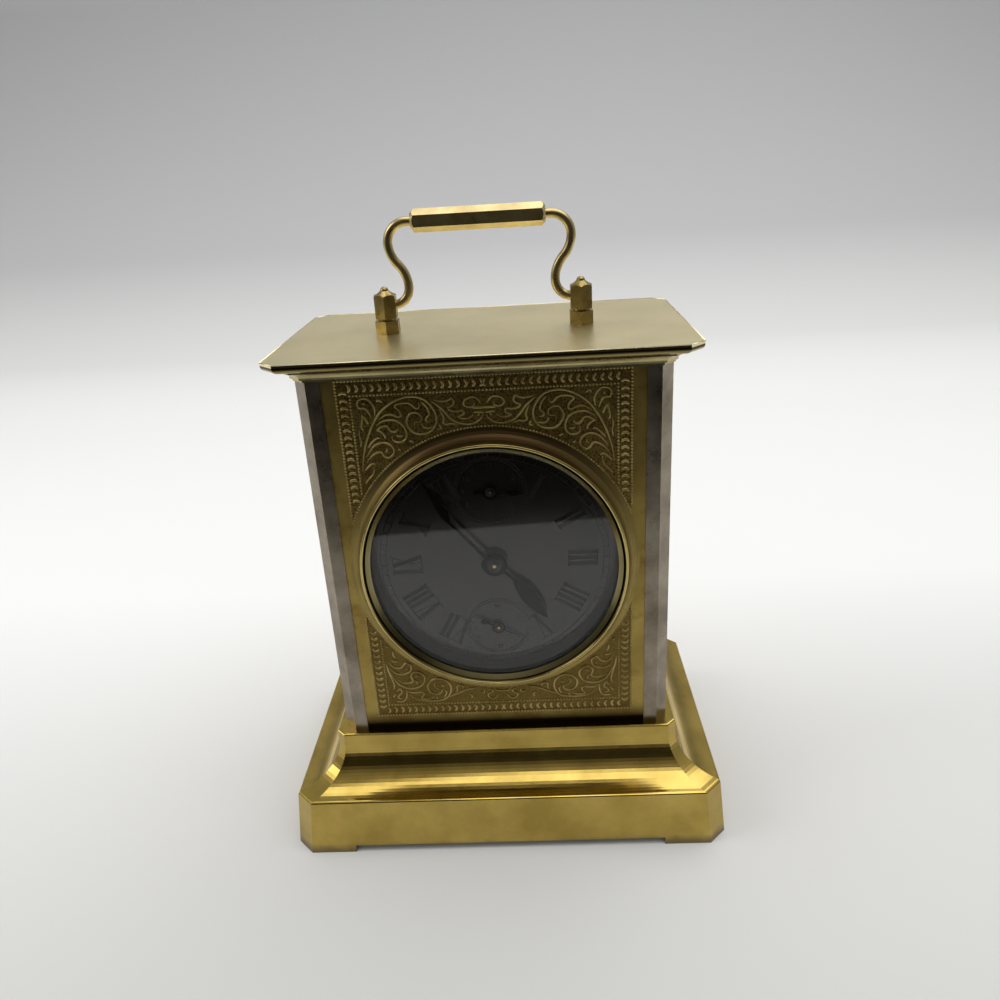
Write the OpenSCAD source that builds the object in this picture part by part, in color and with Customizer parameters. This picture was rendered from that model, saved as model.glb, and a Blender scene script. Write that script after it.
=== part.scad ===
// Musical carriage clock with alarm.
// X runs to the right, Y to the back and Z up. The origin is the middle of the base, on the table.
// The case holds a lever movement with its dial. A music box stands in the base and is wound from below.

/* [Case] */
// Width over the pillars
body_w = 97; // [95:0.5:101]
// Depth over the pillars
body_d = 56; // [55:0.5:60]
// Height of the pillars
body_h = 108; // [106:0.5:114]
// Width of each square pillar
pillar_w = 7; // [6.6:0.1:7.6]
// Flat on the outer corner of each pillar
pillar_chamfer = 3.25; // [2.6:0.05:3.4]
// Thickness of the front, side and rear sheets
panel_t = 1.2; // [1:0.05:1.4]
// How far the sheets lie behind the pillars' faces
panel_set = 0.3; // [0.2:0.05:0.5]
// Height of the pressed field on each side sheet over the pillars' side faces
field_proud = 0.65; // [0.4:0.05:0.9]

/* [Base] */
// Height of the base
base_h = 32.5; // [32:0.25:36]
// Height of the skirt
skirt_h = 17.5; // [16:0.25:18.5]
// How far the top of the skirt stands out past the pillars
plinth_over = 14.5; // [14:0.1:15.2]
// How far the skirt leans out further at the table
skirt_draft = 1.5; // [1:0.1:2]
// How far the ledge under the pillars stands out past them
ledge_over = 2.4; // [2:0.1:2.8]
// Flat across each corner of the skirt
plinth_chamfer = 4.9; // [4:0.1:6]
// Flat across each corner of the ledge
ledge_chamfer = 2.3; // [1.8:0.1:2.8]
// Sheet thickness of the pressed base
base_wall = 1.2; // [1:0.05:1.5]
// Height of the gap between the feet
foot_h = 2.2; // [2:0.1:3]
// Length of each foot along a side
foot_w = 12; // [10:0.5:14]
// Thickness of the iron bottom plate
bottom_t = 1.6; // [1.2:0.1:1.8]

/* [Top] */
// Height of the moulding under the top plate
cornice_h = 3.7; // [3.4:0.1:4.4]
// Thickness of the top plate
top_t = 2.4; // [2:0.1:3]
// How far the top plate stands out past the pillars
top_over = 6.5; // [5.5:0.1:7.5]
// Flat across each corner of the top plate
top_chamfer = 4; // [3:0.1:5]

/* [Handle] */
// Distance between the two posts
post_span = 54; // [52:0.5:58]
// Width over the flats of the posts
post_flats = 5.8; // [5.4:0.1:6.4]
// Height of the pivots over the top plate
pivot_h = 7.6; // [7.2:0.1:8.4]
// Diameter of the handle wire
wire_d = 2.5; // [2.2:0.1:2.8]
// Width over the flats of the grip
grip_flats = 5.3; // [4.8:0.1:5.8]
// Length of the grip
grip_l = 36; // [34:0.5:37.6]

/* [Dial] */
// Radius of the bezel's crest
crest_r = 36.2; // [35.8:0.1:37]
// Radius of the bezel's flare where it meets the panel
flare_r = 39.9; // [39.6:0.1:40.8]
// Height of the bezel over the panel
bezel_proud = 4.5; // [4:0.1:5]
// Thickness of the glass
crystal_t = 1.6; // [1.4:0.1:1.8]
// Radius of the glass that shows
sight_r = 34; // [33.4:0.1:34.2]
// Distance of the dial behind the front sheet
dial_set = 2.8; // [2.7:0.05:3]
// Thickness of the dial
dial_t = 0.6; // [0.5:0.05:0.8]

/* [Movement] */
// Clear space between the movement plates
plate_gap = 25.4; // [25.2:0.1:26.4]
// Thickness of the movement plates
plate_t = 1.6; // [1.4:0.1:1.8]
// Width of the movement plates
plate_w = 70; // [69:0.5:72]
// Tooth module of the barrel and the centre pinion
barrel_module = 0.42; // [0.41:0.005:0.43]
// Distance of the alarm and seconds arbors from the centre
subdial_r = 21; // [20.9:0.05:21.2]
// Radius of the balance
balance_r = 7.5; // [7:0.1:7.8]

/* [Hidden] */
$fn = 64;

// Colours of the metals
BRASS = "#b0924a";
DARK_BRASS = "#7d6a32";
STEEL = "#8c8a86";
IRON = "#4a4245";
GILT = "#c2a659";

// Clearances: a turning fit, a sheet in its groove, a screw in its hole
turn_fit = 0.05;
slide_fit = 0.05;
screw_fit = 0.1;
eps = 0.01;
big = 300;

// Places that follow from the case
top_z = base_h + body_h;
plate_z = top_z + cornice_h;
roof_z = plate_z + top_t;
centre_z = base_h + body_h / 2;
sheet_y = body_d / 2 - panel_set;
sheet_x = body_w / 2 - panel_set;
inner_w = body_w - 2 * pillar_w;
inner_d = body_d - 2 * pillar_w;
groove_d = 1.5;
groove_in = 1.4;
pillar_x = body_w / 2 - pillar_w / 2;
pillar_y = body_d / 2 - pillar_w / 2;

// Fasteners
screw_r = 1.4;
screw_depth = 9;
head_r = 2.6;
head_t = 1.6;
lug_r = 4;

// The cove of the base is a quarter circle from the skirt's rounded edge up to the upright under the ledge
edge_r = 0.8;
lip_r = 0.5;
cove_r = plinth_over - edge_r - ledge_over;
cove_x = ledge_over + cove_r;
cove_z = skirt_h + cove_r;
COVE_STEPS = 18;

// Depths of the dial, counted from the front towards the back
crest_y = -sheet_y - bezel_proud;
crest_round = 0.45;
crystal_y = crest_y + 2;
dial_y = -sheet_y + dial_set;
tube_r = sight_r + 1.5;
spigot_r = tube_r + 2.3;
motion_gap = 5.3;
front_plate_y = dial_y + dial_t + motion_gap;
gap_y = front_plate_y + plate_t;
back_plate_y = gap_y + plate_gap;
behind_y = back_plate_y + plate_t;
outside_y = sheet_y + 1;

// Tooth counts of the going train, of the motion work and of the music box
BARREL_TEETH = 72;
CENTRE_LEAVES = 12;
CENTRE_TEETH = 60;
THIRD_LEAVES = 8;
THIRD_TEETH = 64;
FOURTH_LEAVES = 8;
FOURTH_TEETH = 64;
ESCAPE_LEAVES = 8;
ESCAPE_TEETH = 15;
CANNON_LEAVES = 12;
MINUTE_TEETH = 36;
MINUTE_LEAVES = 10;
HOUR_TEETH = 40;
MUSIC_TEETH = 46;
CROWN_TEETH = 18;
END_TEETH = 36;
GOVERNOR_LEAVES = 9;
WORM_TEETH = 20;

centre_module = 0.4;
third_module = 0.35;
fourth_module = 0.28;
hour_module = subdial_r / HOUR_TEETH;
motion_r = hour_module * (MINUTE_LEAVES + HOUR_TEETH) / 2;
motion_module = 2 * motion_r / (CANNON_LEAVES + MINUTE_TEETH);

// Distance between the arbors of a wheel and its pinion
function reach(a, b, m) = m * (a + b) / 2;
// Point at a distance and an angle from another
function polar(from, r, turn) = from + r * [cos(turn), sin(turn)];
// Angle from one point to another
function bearing(a, b) = atan2(b[1] - a[1], b[0] - a[0]);
// Turn of a pinion that puts its gaps on the teeth of the wheel it meets
function mesh(phi, turn, a, b) = phi + 180 - (0.5 - (phi - turn) * a / 360) * 360 / b;

// Arbors, as places on the plates counted from the centre arbor
CENTRE = [0, 0];
FOURTH = [0, -subdial_r];
ALARM = [0, subdial_r];
third_reach = reach(CENTRE_TEETH, THIRD_LEAVES, centre_module);
fourth_reach = reach(THIRD_TEETH, FOURTH_LEAVES, third_module);
third_drop = (subdial_r ^ 2 + third_reach ^ 2 - fourth_reach ^ 2) / (2 * subdial_r);
THIRD = [sqrt(third_reach ^ 2 - third_drop ^ 2), -third_drop];
ESCAPE = polar(FOURTH, reach(FOURTH_TEETH, ESCAPE_LEAVES, fourth_module), 215);
BARREL = polar(CENTRE, reach(BARREL_TEETH, CENTRE_LEAVES, barrel_module), 15);
MOTION = polar(CENTRE, motion_r, 200);
LEVER = polar(ESCAPE, 6.9, 150);
BALANCE = polar(LEVER, 9, 120);
ratchet_r = 8;
click_lift = 0.3;
CLICK = polar(BARREL, ratchet_r + 3.6, 80);

// Turns that put all teeth in mesh at rest
centre_turn = 0;
barrel_turn = mesh(bearing(CENTRE, BARREL), centre_turn, CENTRE_LEAVES, BARREL_TEETH);
third_turn = mesh(bearing(CENTRE, THIRD), centre_turn, CENTRE_TEETH, THIRD_LEAVES);
fourth_turn = mesh(bearing(THIRD, FOURTH), third_turn, THIRD_TEETH, FOURTH_LEAVES);
escape_turn = mesh(bearing(FOURTH, ESCAPE), fourth_turn, FOURTH_TEETH, ESCAPE_LEAVES);
minute_turn = mesh(bearing(CENTRE, MOTION), centre_turn, CANNON_LEAVES, MINUTE_TEETH);
hour_turn = mesh(bearing(MOTION, CENTRE), minute_turn, MINUTE_LEAVES, HOUR_TEETH);
alarm_turn = mesh(bearing(CENTRE, ALARM), hour_turn, HOUR_TEETH, HOUR_TEETH);

// Arbor radii
thin_arbor_r = 0.6;
centre_arbor_r = 1;
barrel_arbor_r = 2;
cannon_pipe_r = 1.5;
hour_pipe_r = 2.1;
alarm_arbor_r = 0.9;
stud_r = 0.9;

// Where the hands point, clockwise from twelve
minute_points = 325.3;
hour_points = 142;
seconds_points = 117;
alarm_points = 93;
hand_t = 0.35;
hand_gap = 0.45;
minute_hand_y = crystal_y + crystal_t + 0.7 + hand_t;
hour_hand_y = minute_hand_y + hand_gap + hand_t;
small_hand_y = dial_y - hand_gap;

// Knobs and keys behind the rear sheet
knob_r = 5.5;
knob_t = 4;
key_wing = 10.2;
STOP = [plate_w / 2 - 1.9, 13.5];
stop_r = 1.5;
rod_w = 3.8;
rod_t = 1.2;
rod_lift = 2.5;

// Music box in the base, on its own axes
bottom_z = 0.4;
well_r = 17;
well_wall = 1.2;
well_top = 11;
bed_t = 2;
MUSIC = [-13, 0];
drum_z = well_top + bed_t + 0.4;
drum_top = 24;
ring_z = 24.2;
ring_t = 0.8;
music_module = 0.5;
music_r = MUSIC_TEETH * music_module / 2;
crown_r = CROWN_TEETH * music_module / 2;
axle_z = ring_z + ring_t / 2 - crown_r;
crown_depth = 1.1;
crown_face_x = MUSIC[0] + music_r + 0.8 * music_module + 0.25;
cylinder_r = 4.6;
cylinder_x = 2.4;
cylinder_l = 18;
pin_h = 0.65;
comb_gap = 0.2;
end_module = 0.28;
end_x = cylinder_x + cylinder_l + 0.8;
governor_reach = end_module * (END_TEETH + GOVERNOR_LEAVES) / 2;
bracket_x = end_x + 2.4;
worm_x = bracket_x + 2.3;
worm_wheel_r = 3.5;
fly_r = 0.9;
fly_y = governor_reach + worm_wheel_r + fly_r + 0.2;
wing_r = 4.2;

// Moulding outlines, from the bottom up. Each point is a distance out from the pillars' face, a height and the
// corner flat there.

// Pressed base: skirt, rounded edge, cove and the upright under the ledge. An inset above nothing gives the
// inside of the sheet.
function base_points(inset) = concat(
    [[plinth_over + skirt_draft - inset, -inset, plinth_chamfer]],
    inset > 0 ? [[plinth_over - inset, skirt_h - inset, plinth_chamfer]] :
        [for (a = [0:22.5:90]) [plinth_over - edge_r * (1 - cos(a)), skirt_h - edge_r * (1 - sin(a)), plinth_chamfer]],
    [for (i = [1:COVE_STEPS]) let (a = 90 * i / COVE_STEPS, r = cove_r + inset)
        [cove_x - r * sin(a), cove_z - r * cos(a), plinth_chamfer + (ledge_chamfer - plinth_chamfer) * sin(a)]],
    inset > 0 ? [[ledge_over - inset, base_h - inset, ledge_chamfer]] :
        [for (a = [0:30:90]) [ledge_over - lip_r * (1 - cos(a)), base_h - lip_r * (1 - sin(a)), ledge_chamfer]]
);

// Crown moulding: a fillet, a cove that flares out and a square lip
function cornice_points() =
    let (over = 0.4, fillet = 0.7, step = 0.5, lip = 0.9, r = cornice_h - fillet - lip, edge = over + step)
    concat(
        [[over, 0, pillar_chamfer], [over, fillet, pillar_chamfer]],
        [for (a = [0:15:90]) [edge + r * (1 - cos(a)), fillet + r * sin(a), pillar_chamfer]],
        [[edge + r, cornice_h, pillar_chamfer]]
    );

// Top plate with a rounded lower edge
function top_points() =
    let (r = top_t * 0.6)
    concat(
        [for (a = [0:22.5:90]) [top_over - r * (1 - sin(a)), r * (1 - cos(a)), top_chamfer]],
        [[top_over, top_t, top_chamfer]]
    );

// A bar through the middle whose two sides follow an outline
module moulded_bar(outline, half, turn) {
    right = [for (p = outline) [half + p[0], p[1]]];
    left = [for (i = [len(outline) - 1:-1:0]) [-half - outline[i][0], outline[i][1]]];
    rotate([0, 0, turn]) rotate([90, 0, 0]) linear_extrude(big, center = true) polygon(concat(right, left));
}

// A block with the same moulding all round. Square to a corner flat a distance out grows by the root of two.
module moulded_block(points, inset = 0) {
    side = [for (p = points) [p[0], p[1]]];
    corner = [for (p = points) [sqrt(2) * (p[0] + inset) - p[2] / sqrt(2) - inset, p[1]]];
    intersection() {
        moulded_bar(side, body_w / 2, 0);
        moulded_bar(side, body_d / 2, 90);
        moulded_bar(corner, half_diagonal, 45);
        moulded_bar(corner, half_diagonal, -45);
    }
}

half_diagonal = (body_w + body_d) / 2 / sqrt(2);

// Places that repeat
module at_pillars() {
    for (x = [-1, 1], y = [-1, 1]) translate([x * pillar_x, y * pillar_y]) children();
}

// Lugs inside the corners of the base, for the bottom plate's screws
lug_x = body_w / 2 + plinth_over - 8.5;
lug_y = body_d / 2 + plinth_over - 8.5;
module at_lugs() {
    for (x = [-1, 1], y = [-1, 1]) translate([x * lug_x, y * lug_y]) children();
}

// Seats where the legs of the movement plates stand on the base
seat_x = plate_w / 2 - 6;
seat_d = 7;
module at_seats() {
    for (x = [-1, 1]) {
        translate([x * seat_x, gap_y + seat_d / 2 + 0.6]) children();
        translate([x * seat_x, back_plate_y - seat_d / 2 - 0.6]) children();
    }
}

// A layer of the movement: an upright disc or plate from one depth to another, placed on an arbor
module layer(at, from_y, to_y) {
    translate([at[0], to_y, centre_z + at[1]]) rotate([90, 0, 0]) linear_extrude(to_y - from_y) children();
}

// A round arbor, pipe or boss
module arbor(at, from_y, to_y, r) {
    layer(at, from_y, to_y) circle(r);
}

// Outline of a toothed wheel
module teeth(n, m, turn) {
    step = 360 / n;
    rim = n * m / 2;
    across = [[rim - 1.25 * m, 0.27], [rim, 0.21], [rim + 0.8 * m, 0.1]];
    polygon([for (i = [0:n - 1], k = [-2.5:1:2.5])
        let (p = across[k < 0 ? k + 2.5 : 2.5 - k], a = turn + step * (i + sign(k) * p[1]))
        p[0] * [cos(a), sin(a)]]);
}

// Crossed-out wheel: rim, arms and hub
module crossed(n, m, turn, hub, rim_w, arms) {
    inside = n * m / 2 - 1.25 * m - rim_w;
    difference() {
        teeth(n, m, turn);
        difference() {
            circle(inside);
            circle(hub);
            for (i = [0:arms - 1]) rotate(turn + 360 * i / arms) translate([0, -rim_w / 2]) square([inside + 1, rim_w]);
        }
    }
}

// A leaf between two arcs, from the origin up
module leaf(length, width) {
    r = (length ^ 2 / 4 + width ^ 2 / 4) / width;
    intersection() {
        translate([r - width / 2, length / 2]) circle(r);
        translate([width / 2 - r, length / 2]) circle(r);
    }
}

// Case

module base_moulding() {
    color(BRASS) difference() {
        union() {
            difference() {
                moulded_block(base_points(0));
                moulded_block(base_points(base_wall), base_wall);
            }
            at_lugs() translate([0, 0, bottom_z + bottom_t]) cylinder(h = skirt_h - bottom_z - bottom_t, r = lug_r);
        }
        // Gaps between the feet
        foot_x = body_w / 2 + plinth_over - plinth_chamfer - foot_w;
        foot_y = body_d / 2 + plinth_over - plinth_chamfer - foot_w;
        translate([-foot_x, -big / 2, -1]) cube([2 * foot_x, big, foot_h + 1]);
        translate([-big / 2, -foot_y, -1]) cube([big, 2 * foot_y, foot_h + 1]);
        at_lugs() translate([0, 0, -1]) cylinder(h = screw_depth + 3, r = screw_r + screw_fit);
        at_pillars() translate([0, 0, base_h - 5]) cylinder(h = 10, r = screw_r + screw_fit);
        at_seats() translate([0, 0, base_h - 5]) cylinder(h = 10, r = screw_r + screw_fit);
        // Slot for the release rod
        translate([STOP[0] - rod_w / 2 - 0.5, behind_y - 0.3, base_h - 5]) cube([rod_w + 1, rod_t + 1.2, 10]);
    }
}

// Half widths of the bottom plate, just inside the skirt
plate_half_x = body_w / 2 + plinth_over + skirt_draft * 0.8 - base_wall - 0.5;
plate_half_y = body_d / 2 + plinth_over + skirt_draft * 0.8 - base_wall - 0.5;
bottom_chamfer = plinth_chamfer + 1.5;

module bottom_plate() {
    x = plate_half_x;
    y = plate_half_y;
    c = bottom_chamfer;
    color(IRON) difference() {
        union() {
            translate([0, 0, bottom_z]) linear_extrude(bottom_t)
                polygon([[c - x, -y], [x - c, -y], [x, c - y], [x, y - c], [x - c, y], [c - x, y], [-x, y - c], [-x, c - y]]);
            translate([MUSIC[0], MUSIC[1], bottom_z]) cylinder(h = well_top - bottom_z, r = well_r);
        }
        translate([MUSIC[0], MUSIC[1], -1]) cylinder(h = well_top - well_wall + 1, r = well_r - well_wall);
        translate([MUSIC[0], MUSIC[1], -1]) cylinder(h = 20, r = barrel_arbor_r + turn_fit);
        at_lugs() translate([0, 0, -1]) cylinder(h = 10, r = screw_r + screw_fit);
    }
}

// One pillar, its outer corner towards plus X and plus Y
module pillar(sx, sy) {
    w = pillar_w;
    slot = panel_t + 2 * slide_fit;
    set = panel_set - slide_fit;
    color(STEEL) difference() {
        translate([sx * pillar_x, sy * pillar_y, base_h]) linear_extrude(body_h)
            mirror([sx < 0 ? 1 : 0, 0]) mirror([0, sy < 0 ? 1 : 0]) difference() {
                polygon([[-w / 2, -w / 2], [w / 2, -w / 2], [w / 2, w / 2 - pillar_chamfer],
                    [w / 2 - pillar_chamfer, w / 2], [-w / 2, w / 2]]);
                translate([-w / 2 - 1, w / 2 - set - slot]) square([groove_d + 1, slot]);
                translate([w / 2 - set - slot, -w / 2 - 1]) square([slot, groove_d + 1]);
            }
        translate([sx * pillar_x, sy * pillar_y, base_h - 1]) cylinder(h = screw_depth + 1, r = screw_r);
        translate([sx * pillar_x, sy * pillar_y, top_z - screw_depth]) cylinder(h = screw_depth + 1, r = screw_r);
    }
}

// Upright sheet across the width, its outer face at out_y
module wide_sheet(out_y, side) {
    w = inner_w + 2 * groove_in;
    translate([-w / 2, side > 0 ? out_y - panel_t : out_y, base_h]) cube([w, panel_t, body_h]);
}

module front_panel() {
    color(DARK_BRASS) difference() {
        wide_sheet(-sheet_y, -1);
        arbor(CENTRE, -sheet_y - 1, -sheet_y + 5, spigot_r + slide_fit);
    }
}

module rear_panel() {
    color(BRASS) difference() {
        wide_sheet(sheet_y, 1);
        arbor(CENTRE, sheet_y - 5, sheet_y + 1, centre_arbor_r + 0.4);
        arbor(ALARM, sheet_y - 5, sheet_y + 1, alarm_arbor_r + 0.4);
        arbor(BARREL, sheet_y - 5, sheet_y + 1, barrel_arbor_r + 0.4);
        arbor(STOP, sheet_y - 5, sheet_y + 1, stop_r + turn_fit);
    }
}

// Side sheet with a pressed field whose edges slope
module side_panel(side) {
    d = inner_d + 2 * groove_in;
    field_d = inner_d - 1;
    low = base_h + 5;
    high = top_z - 4.2;
    slope = 1.2;
    rise = panel_set + field_proud;
    color(BRASS) mirror([side < 0 ? 1 : 0, 0, 0]) difference() {
        union() {
            translate([sheet_x - panel_t, -d / 2, base_h]) cube([panel_t, d, body_h]);
            intersection() {
                translate([0, 0, low]) linear_extrude(high - low) polygon([[sheet_x - panel_t / 2, -field_d / 2],
                    [sheet_x, -field_d / 2], [sheet_x + rise, slope - field_d / 2],
                    [sheet_x + rise, field_d / 2 - slope], [sheet_x, field_d / 2], [sheet_x - panel_t / 2, field_d / 2]]);
                rotate([90, 0, 0]) linear_extrude(big, center = true) polygon([[sheet_x - panel_t / 2, low],
                    [sheet_x, low], [sheet_x + rise, low + slope], [sheet_x + rise, high - slope],
                    [sheet_x, high], [sheet_x - panel_t / 2, high]]);
            }
        }
        translate([sheet_x - panel_t - 1, 2 * slope - field_d / 2, low + 2 * slope])
            cube([rise + 1, field_d - 4 * slope, high - low - 4 * slope]);
    }
}

module cornice() {
    open_w = inner_w - 3;
    open_d = inner_d - 3;
    color(DARK_BRASS) difference() {
        translate([0, 0, top_z]) moulded_block(cornice_points());
        translate([-open_w / 2, -open_d / 2, top_z - 1]) cube([open_w, open_d, cornice_h + 2]);
        at_pillars() translate([0, 0, top_z - 1]) cylinder(h = cornice_h + 2, r = screw_r + screw_fit);
        at_pillars() translate([0, 0, plate_z - head_t]) cylinder(h = head_t + 1, r = head_r + screw_fit);
    }
}

module top_plate() {
    color(GILT) difference() {
        translate([0, 0, plate_z]) moulded_block(top_points());
        for (x = [-1, 1]) translate([x * post_span / 2, 0, plate_z - 1]) cylinder(h = top_t + 2, r = screw_r + screw_fit);
    }
}

// Screws: case pillars from below and above, bottom plate to its lugs, movement legs to the base and
// movement plates to their pillars
module machine_screws() {
    color(STEEL) {
        at_pillars() translate([0, 0, base_h - base_wall - head_t]) cylinder(h = head_t, r = head_r);
        at_pillars() translate([0, 0, base_h - base_wall - eps]) cylinder(h = base_wall + screw_depth - 1, r = screw_r);
        at_pillars() translate([0, 0, plate_z - head_t]) cylinder(h = head_t, r = head_r);
        at_pillars() translate([0, 0, top_z - screw_depth + 1]) cylinder(h = screw_depth + cornice_h - head_t, r = screw_r);
        at_lugs() translate([0, 0, bottom_z]) cylinder(h = screw_depth, r = screw_r);
        at_seats() translate([0, 0, base_h - base_wall - head_t]) cylinder(h = head_t, r = head_r);
        at_seats() translate([0, 0, base_h - base_wall - eps]) cylinder(h = base_wall + plate_t, r = screw_r);
        for (p = PLATE_PILLARS) {
            arbor(p, front_plate_y - 1.2, front_plate_y, head_r - 0.4);
            arbor(p, front_plate_y - eps, gap_y + 4, screw_r);
            arbor(p, behind_y, behind_y + 1.2, head_r - 0.4);
            arbor(p, back_plate_y - 4, behind_y + eps, screw_r);
        }
    }
}

// Handle

pivot_z = roof_z + pivot_h;
nut_h = 3.6;
post_hex_h = 6.4;
stub_l = 3.4;
bend_in = 4.6;
bend_top = 5.5;
hip_r = 8;
swing_out = 4.6;
swing_rise = 11.7;
grip_z = pivot_z + bend_in + swing_rise + bend_top;

// Turned post: hexagon nut, neck, hexagon head and a domed finial, with a cross hole for the wire
module handle_post(side) {
    hex_r = post_flats / 2 / cos(30);
    lower_r = (post_flats + 0.5) / 2 / cos(30);
    hex_z = roof_z + nut_h + 0.6;
    color(DARK_BRASS) translate([side * post_span / 2, 0, 0]) difference() {
        union() {
            translate([0, 0, roof_z]) rotate([0, 0, 30]) cylinder(h = nut_h, r = lower_r, $fn = 6);
            translate([0, 0, roof_z]) cylinder(h = nut_h + 1, r = post_flats / 2 - 0.6);
            intersection() {
                translate([0, 0, hex_z]) rotate([0, 0, 30]) cylinder(h = post_hex_h, r = hex_r, $fn = 6);
                translate([0, 0, hex_z]) cylinder(h = post_hex_h, r1 = hex_r + post_hex_h - 0.4, r2 = hex_r - 0.4);
            }
            translate([0, 0, hex_z + post_hex_h]) cylinder(h = 1, r1 = post_flats / 2 - 0.4, r2 = 1.2);
            translate([0, 0, hex_z + post_hex_h + 0.9]) sphere(1.2);
            translate([0, 0, plate_z - nut_h]) cylinder(h = top_t + nut_h + 1, r = screw_r);
        }
        translate([-side * (post_flats / 2 + 1), 0, pivot_z]) rotate([0, side * 90, 0])
            cylinder(h = stub_l + 1.2, r = wire_d / 2 + turn_fit);
    }
}

module handle_nuts() {
    color(STEEL) for (x = [-1, 1]) translate([x * post_span / 2, 0, plate_z - 2.6]) difference() {
        rotate([0, 0, 30]) cylinder(h = 2.6, r = 3, $fn = 6);
        translate([0, 0, -1]) cylinder(h = 5, r = screw_r + screw_fit);
    }
}

// Part of a ring of wire in the upright plane, from one angle to another about a centre
module wire_arc(x, z, r, from, to) {
    translate([x, 0, z]) rotate([90, 0, 0]) rotate([0, 0, from]) rotate_extrude(angle = to - from)
        translate([r, 0]) circle(wire_d / 2);
}

// Straight wire along X
module wire_bar(x0, x1, z) {
    translate([x0, 0, z]) rotate([0, 90, 0]) cylinder(h = x1 - x0, r = wire_d / 2);
}

// Faint mark of the bending tool where one bend meets the next
module wire_mark(x, z, lean) {
    translate([x, 0, z]) rotate([0, lean, 0]) cylinder(h = 0.3, r = wire_d / 2 + 0.02, center = true);
}

// Bent wire arm: a stub in the post, a small bend up, a reversed curve out and a round shoulder into the grip
module handle_arm(side) {
    post_in = post_span / 2 - post_flats / 2;
    start_x = post_in + 0.6;
    neck_x = start_x - bend_in;
    sweep = 2 * atan(swing_out / swing_rise);
    curve_sum = swing_rise / sin(sweep);
    waist_r = curve_sum - hip_r;
    waist_z = pivot_z + bend_in;
    hip_x = neck_x + swing_out - hip_r;
    hip_z = waist_z + swing_rise;
    shoulder_x = neck_x + swing_out - bend_top;
    color(DARK_BRASS) mirror([side < 0 ? 1 : 0, 0, 0]) {
        wire_bar(start_x, post_in + stub_l - 0.2, pivot_z);
        wire_mark(start_x, pivot_z, 90);
        wire_arc(start_x, waist_z, bend_in, 180, 270);
        wire_mark(neck_x, waist_z, 0);
        wire_arc(neck_x + waist_r, waist_z, waist_r, 180 - sweep, 180);
        wire_mark(neck_x + waist_r * (1 - cos(sweep)), waist_z + waist_r * sin(sweep), sweep);
        wire_arc(hip_x, hip_z, hip_r, -sweep, 0);
        wire_mark(hip_x + hip_r, hip_z, 0);
        wire_arc(shoulder_x, hip_z, bend_top, 0, 90);
        wire_mark(shoulder_x, grip_z, 90);
        wire_bar(grip_l / 2 - 3, shoulder_x, grip_z);
    }
}

module handle_grip() {
    hex_r = grip_flats / 2 / cos(30);
    color(GILT) difference() {
        intersection() {
            translate([-grip_l / 2, 0, grip_z]) rotate([0, 90, 0]) cylinder(h = grip_l, r = hex_r, $fn = 6);
            translate([-grip_l / 2, 0, grip_z]) rotate([0, 90, 0]) cylinder(h = grip_l, r1 = 2.1, r2 = grip_l + 2.1);
            translate([grip_l / 2, 0, grip_z]) rotate([0, -90, 0]) cylinder(h = grip_l, r1 = 2.1, r2 = grip_l + 2.1);
        }
        for (s = [-1, 1]) translate([s * grip_l / 2, 0, grip_z]) rotate([0, -s * 90, 0]) translate([0, 0, -1])
            cylinder(h = 4, r = wire_d / 2 + 0.02);
    }
}

// Bezel and dial

// Spun bezel: a hollow flare, a fine round crest, a groove, a slope down to the glass and a spigot
// through the sheet
module bezel() {
    slope_end = bezel_proud - 1.65;
    seat = bezel_proud - 2;
    groove = [crest_r - 0.7, bezel_proud - 0.75];
    slope_start = [crest_r - 1, bezel_proud - 0.55];
    crest = bezel_proud - crest_round;
    flare = flare_r - crest_r - crest_round;
    color(BRASS) translate([0, -sheet_y, centre_z]) rotate([90, 0, 0]) rotate_extrude($fn = 128) polygon(concat(
        [[tube_r, 0.5 - dial_set], [spigot_r, 0.5 - dial_set], [spigot_r, 0], [flare_r, 0]],
        [for (a = [0:15:90]) [flare_r - flare * sin(a), 0.3 + (crest - 0.3) * (1 - cos(a))]],
        [for (a = [15:15:165]) [crest_r + crest_round * cos(a), crest + crest_round * sin(a)]],
        [groove, slope_start, [sight_r, slope_end], [sight_r, seat], [tube_r, seat]]
    ));
}

module crystal() {
    color("#9fb0b8", 0.35) arbor(CENTRE, crystal_y, crystal_y + crystal_t, tube_r - turn_fit);
}

module crystal_ring() {
    color(STEEL) layer(CENTRE, crystal_y + crystal_t, crystal_y + crystal_t + 1.4) difference() {
        circle(tube_r - turn_fit);
        circle(tube_r - 1.2);
    }
}

// Dial: a disc with two sunk sub-dials and two feet in the movement plate
module dial() {
    sink = 0.12;
    sub_r = 8.4;
    color("#4c4a46") difference() {
        union() {
            arbor(CENTRE, dial_y, dial_y + dial_t, spigot_r);
            for (s = [-1, 1]) arbor([s * 28, 12], dial_y + dial_t - eps, front_plate_y + plate_t - 0.2, 0.8);
        }
        arbor(ALARM, dial_y - 1, dial_y + sink, sub_r);
        arbor(FOURTH, dial_y - 1, dial_y + sink, sub_r);
        arbor(CENTRE, dial_y - 1, dial_y + 2, hour_pipe_r + 0.3);
        arbor(ALARM, dial_y - 1, dial_y + 2, alarm_arbor_r + 0.3);
        arbor(FOURTH, dial_y - 1, dial_y + 2, thin_arbor_r + 0.3);
    }
}

// Hands. Each is drawn with its tip up and turned to the time shown. The two large ones are
// cranked: the shank leaves the hub to one side and the blade brings the tip back over it.

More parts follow.
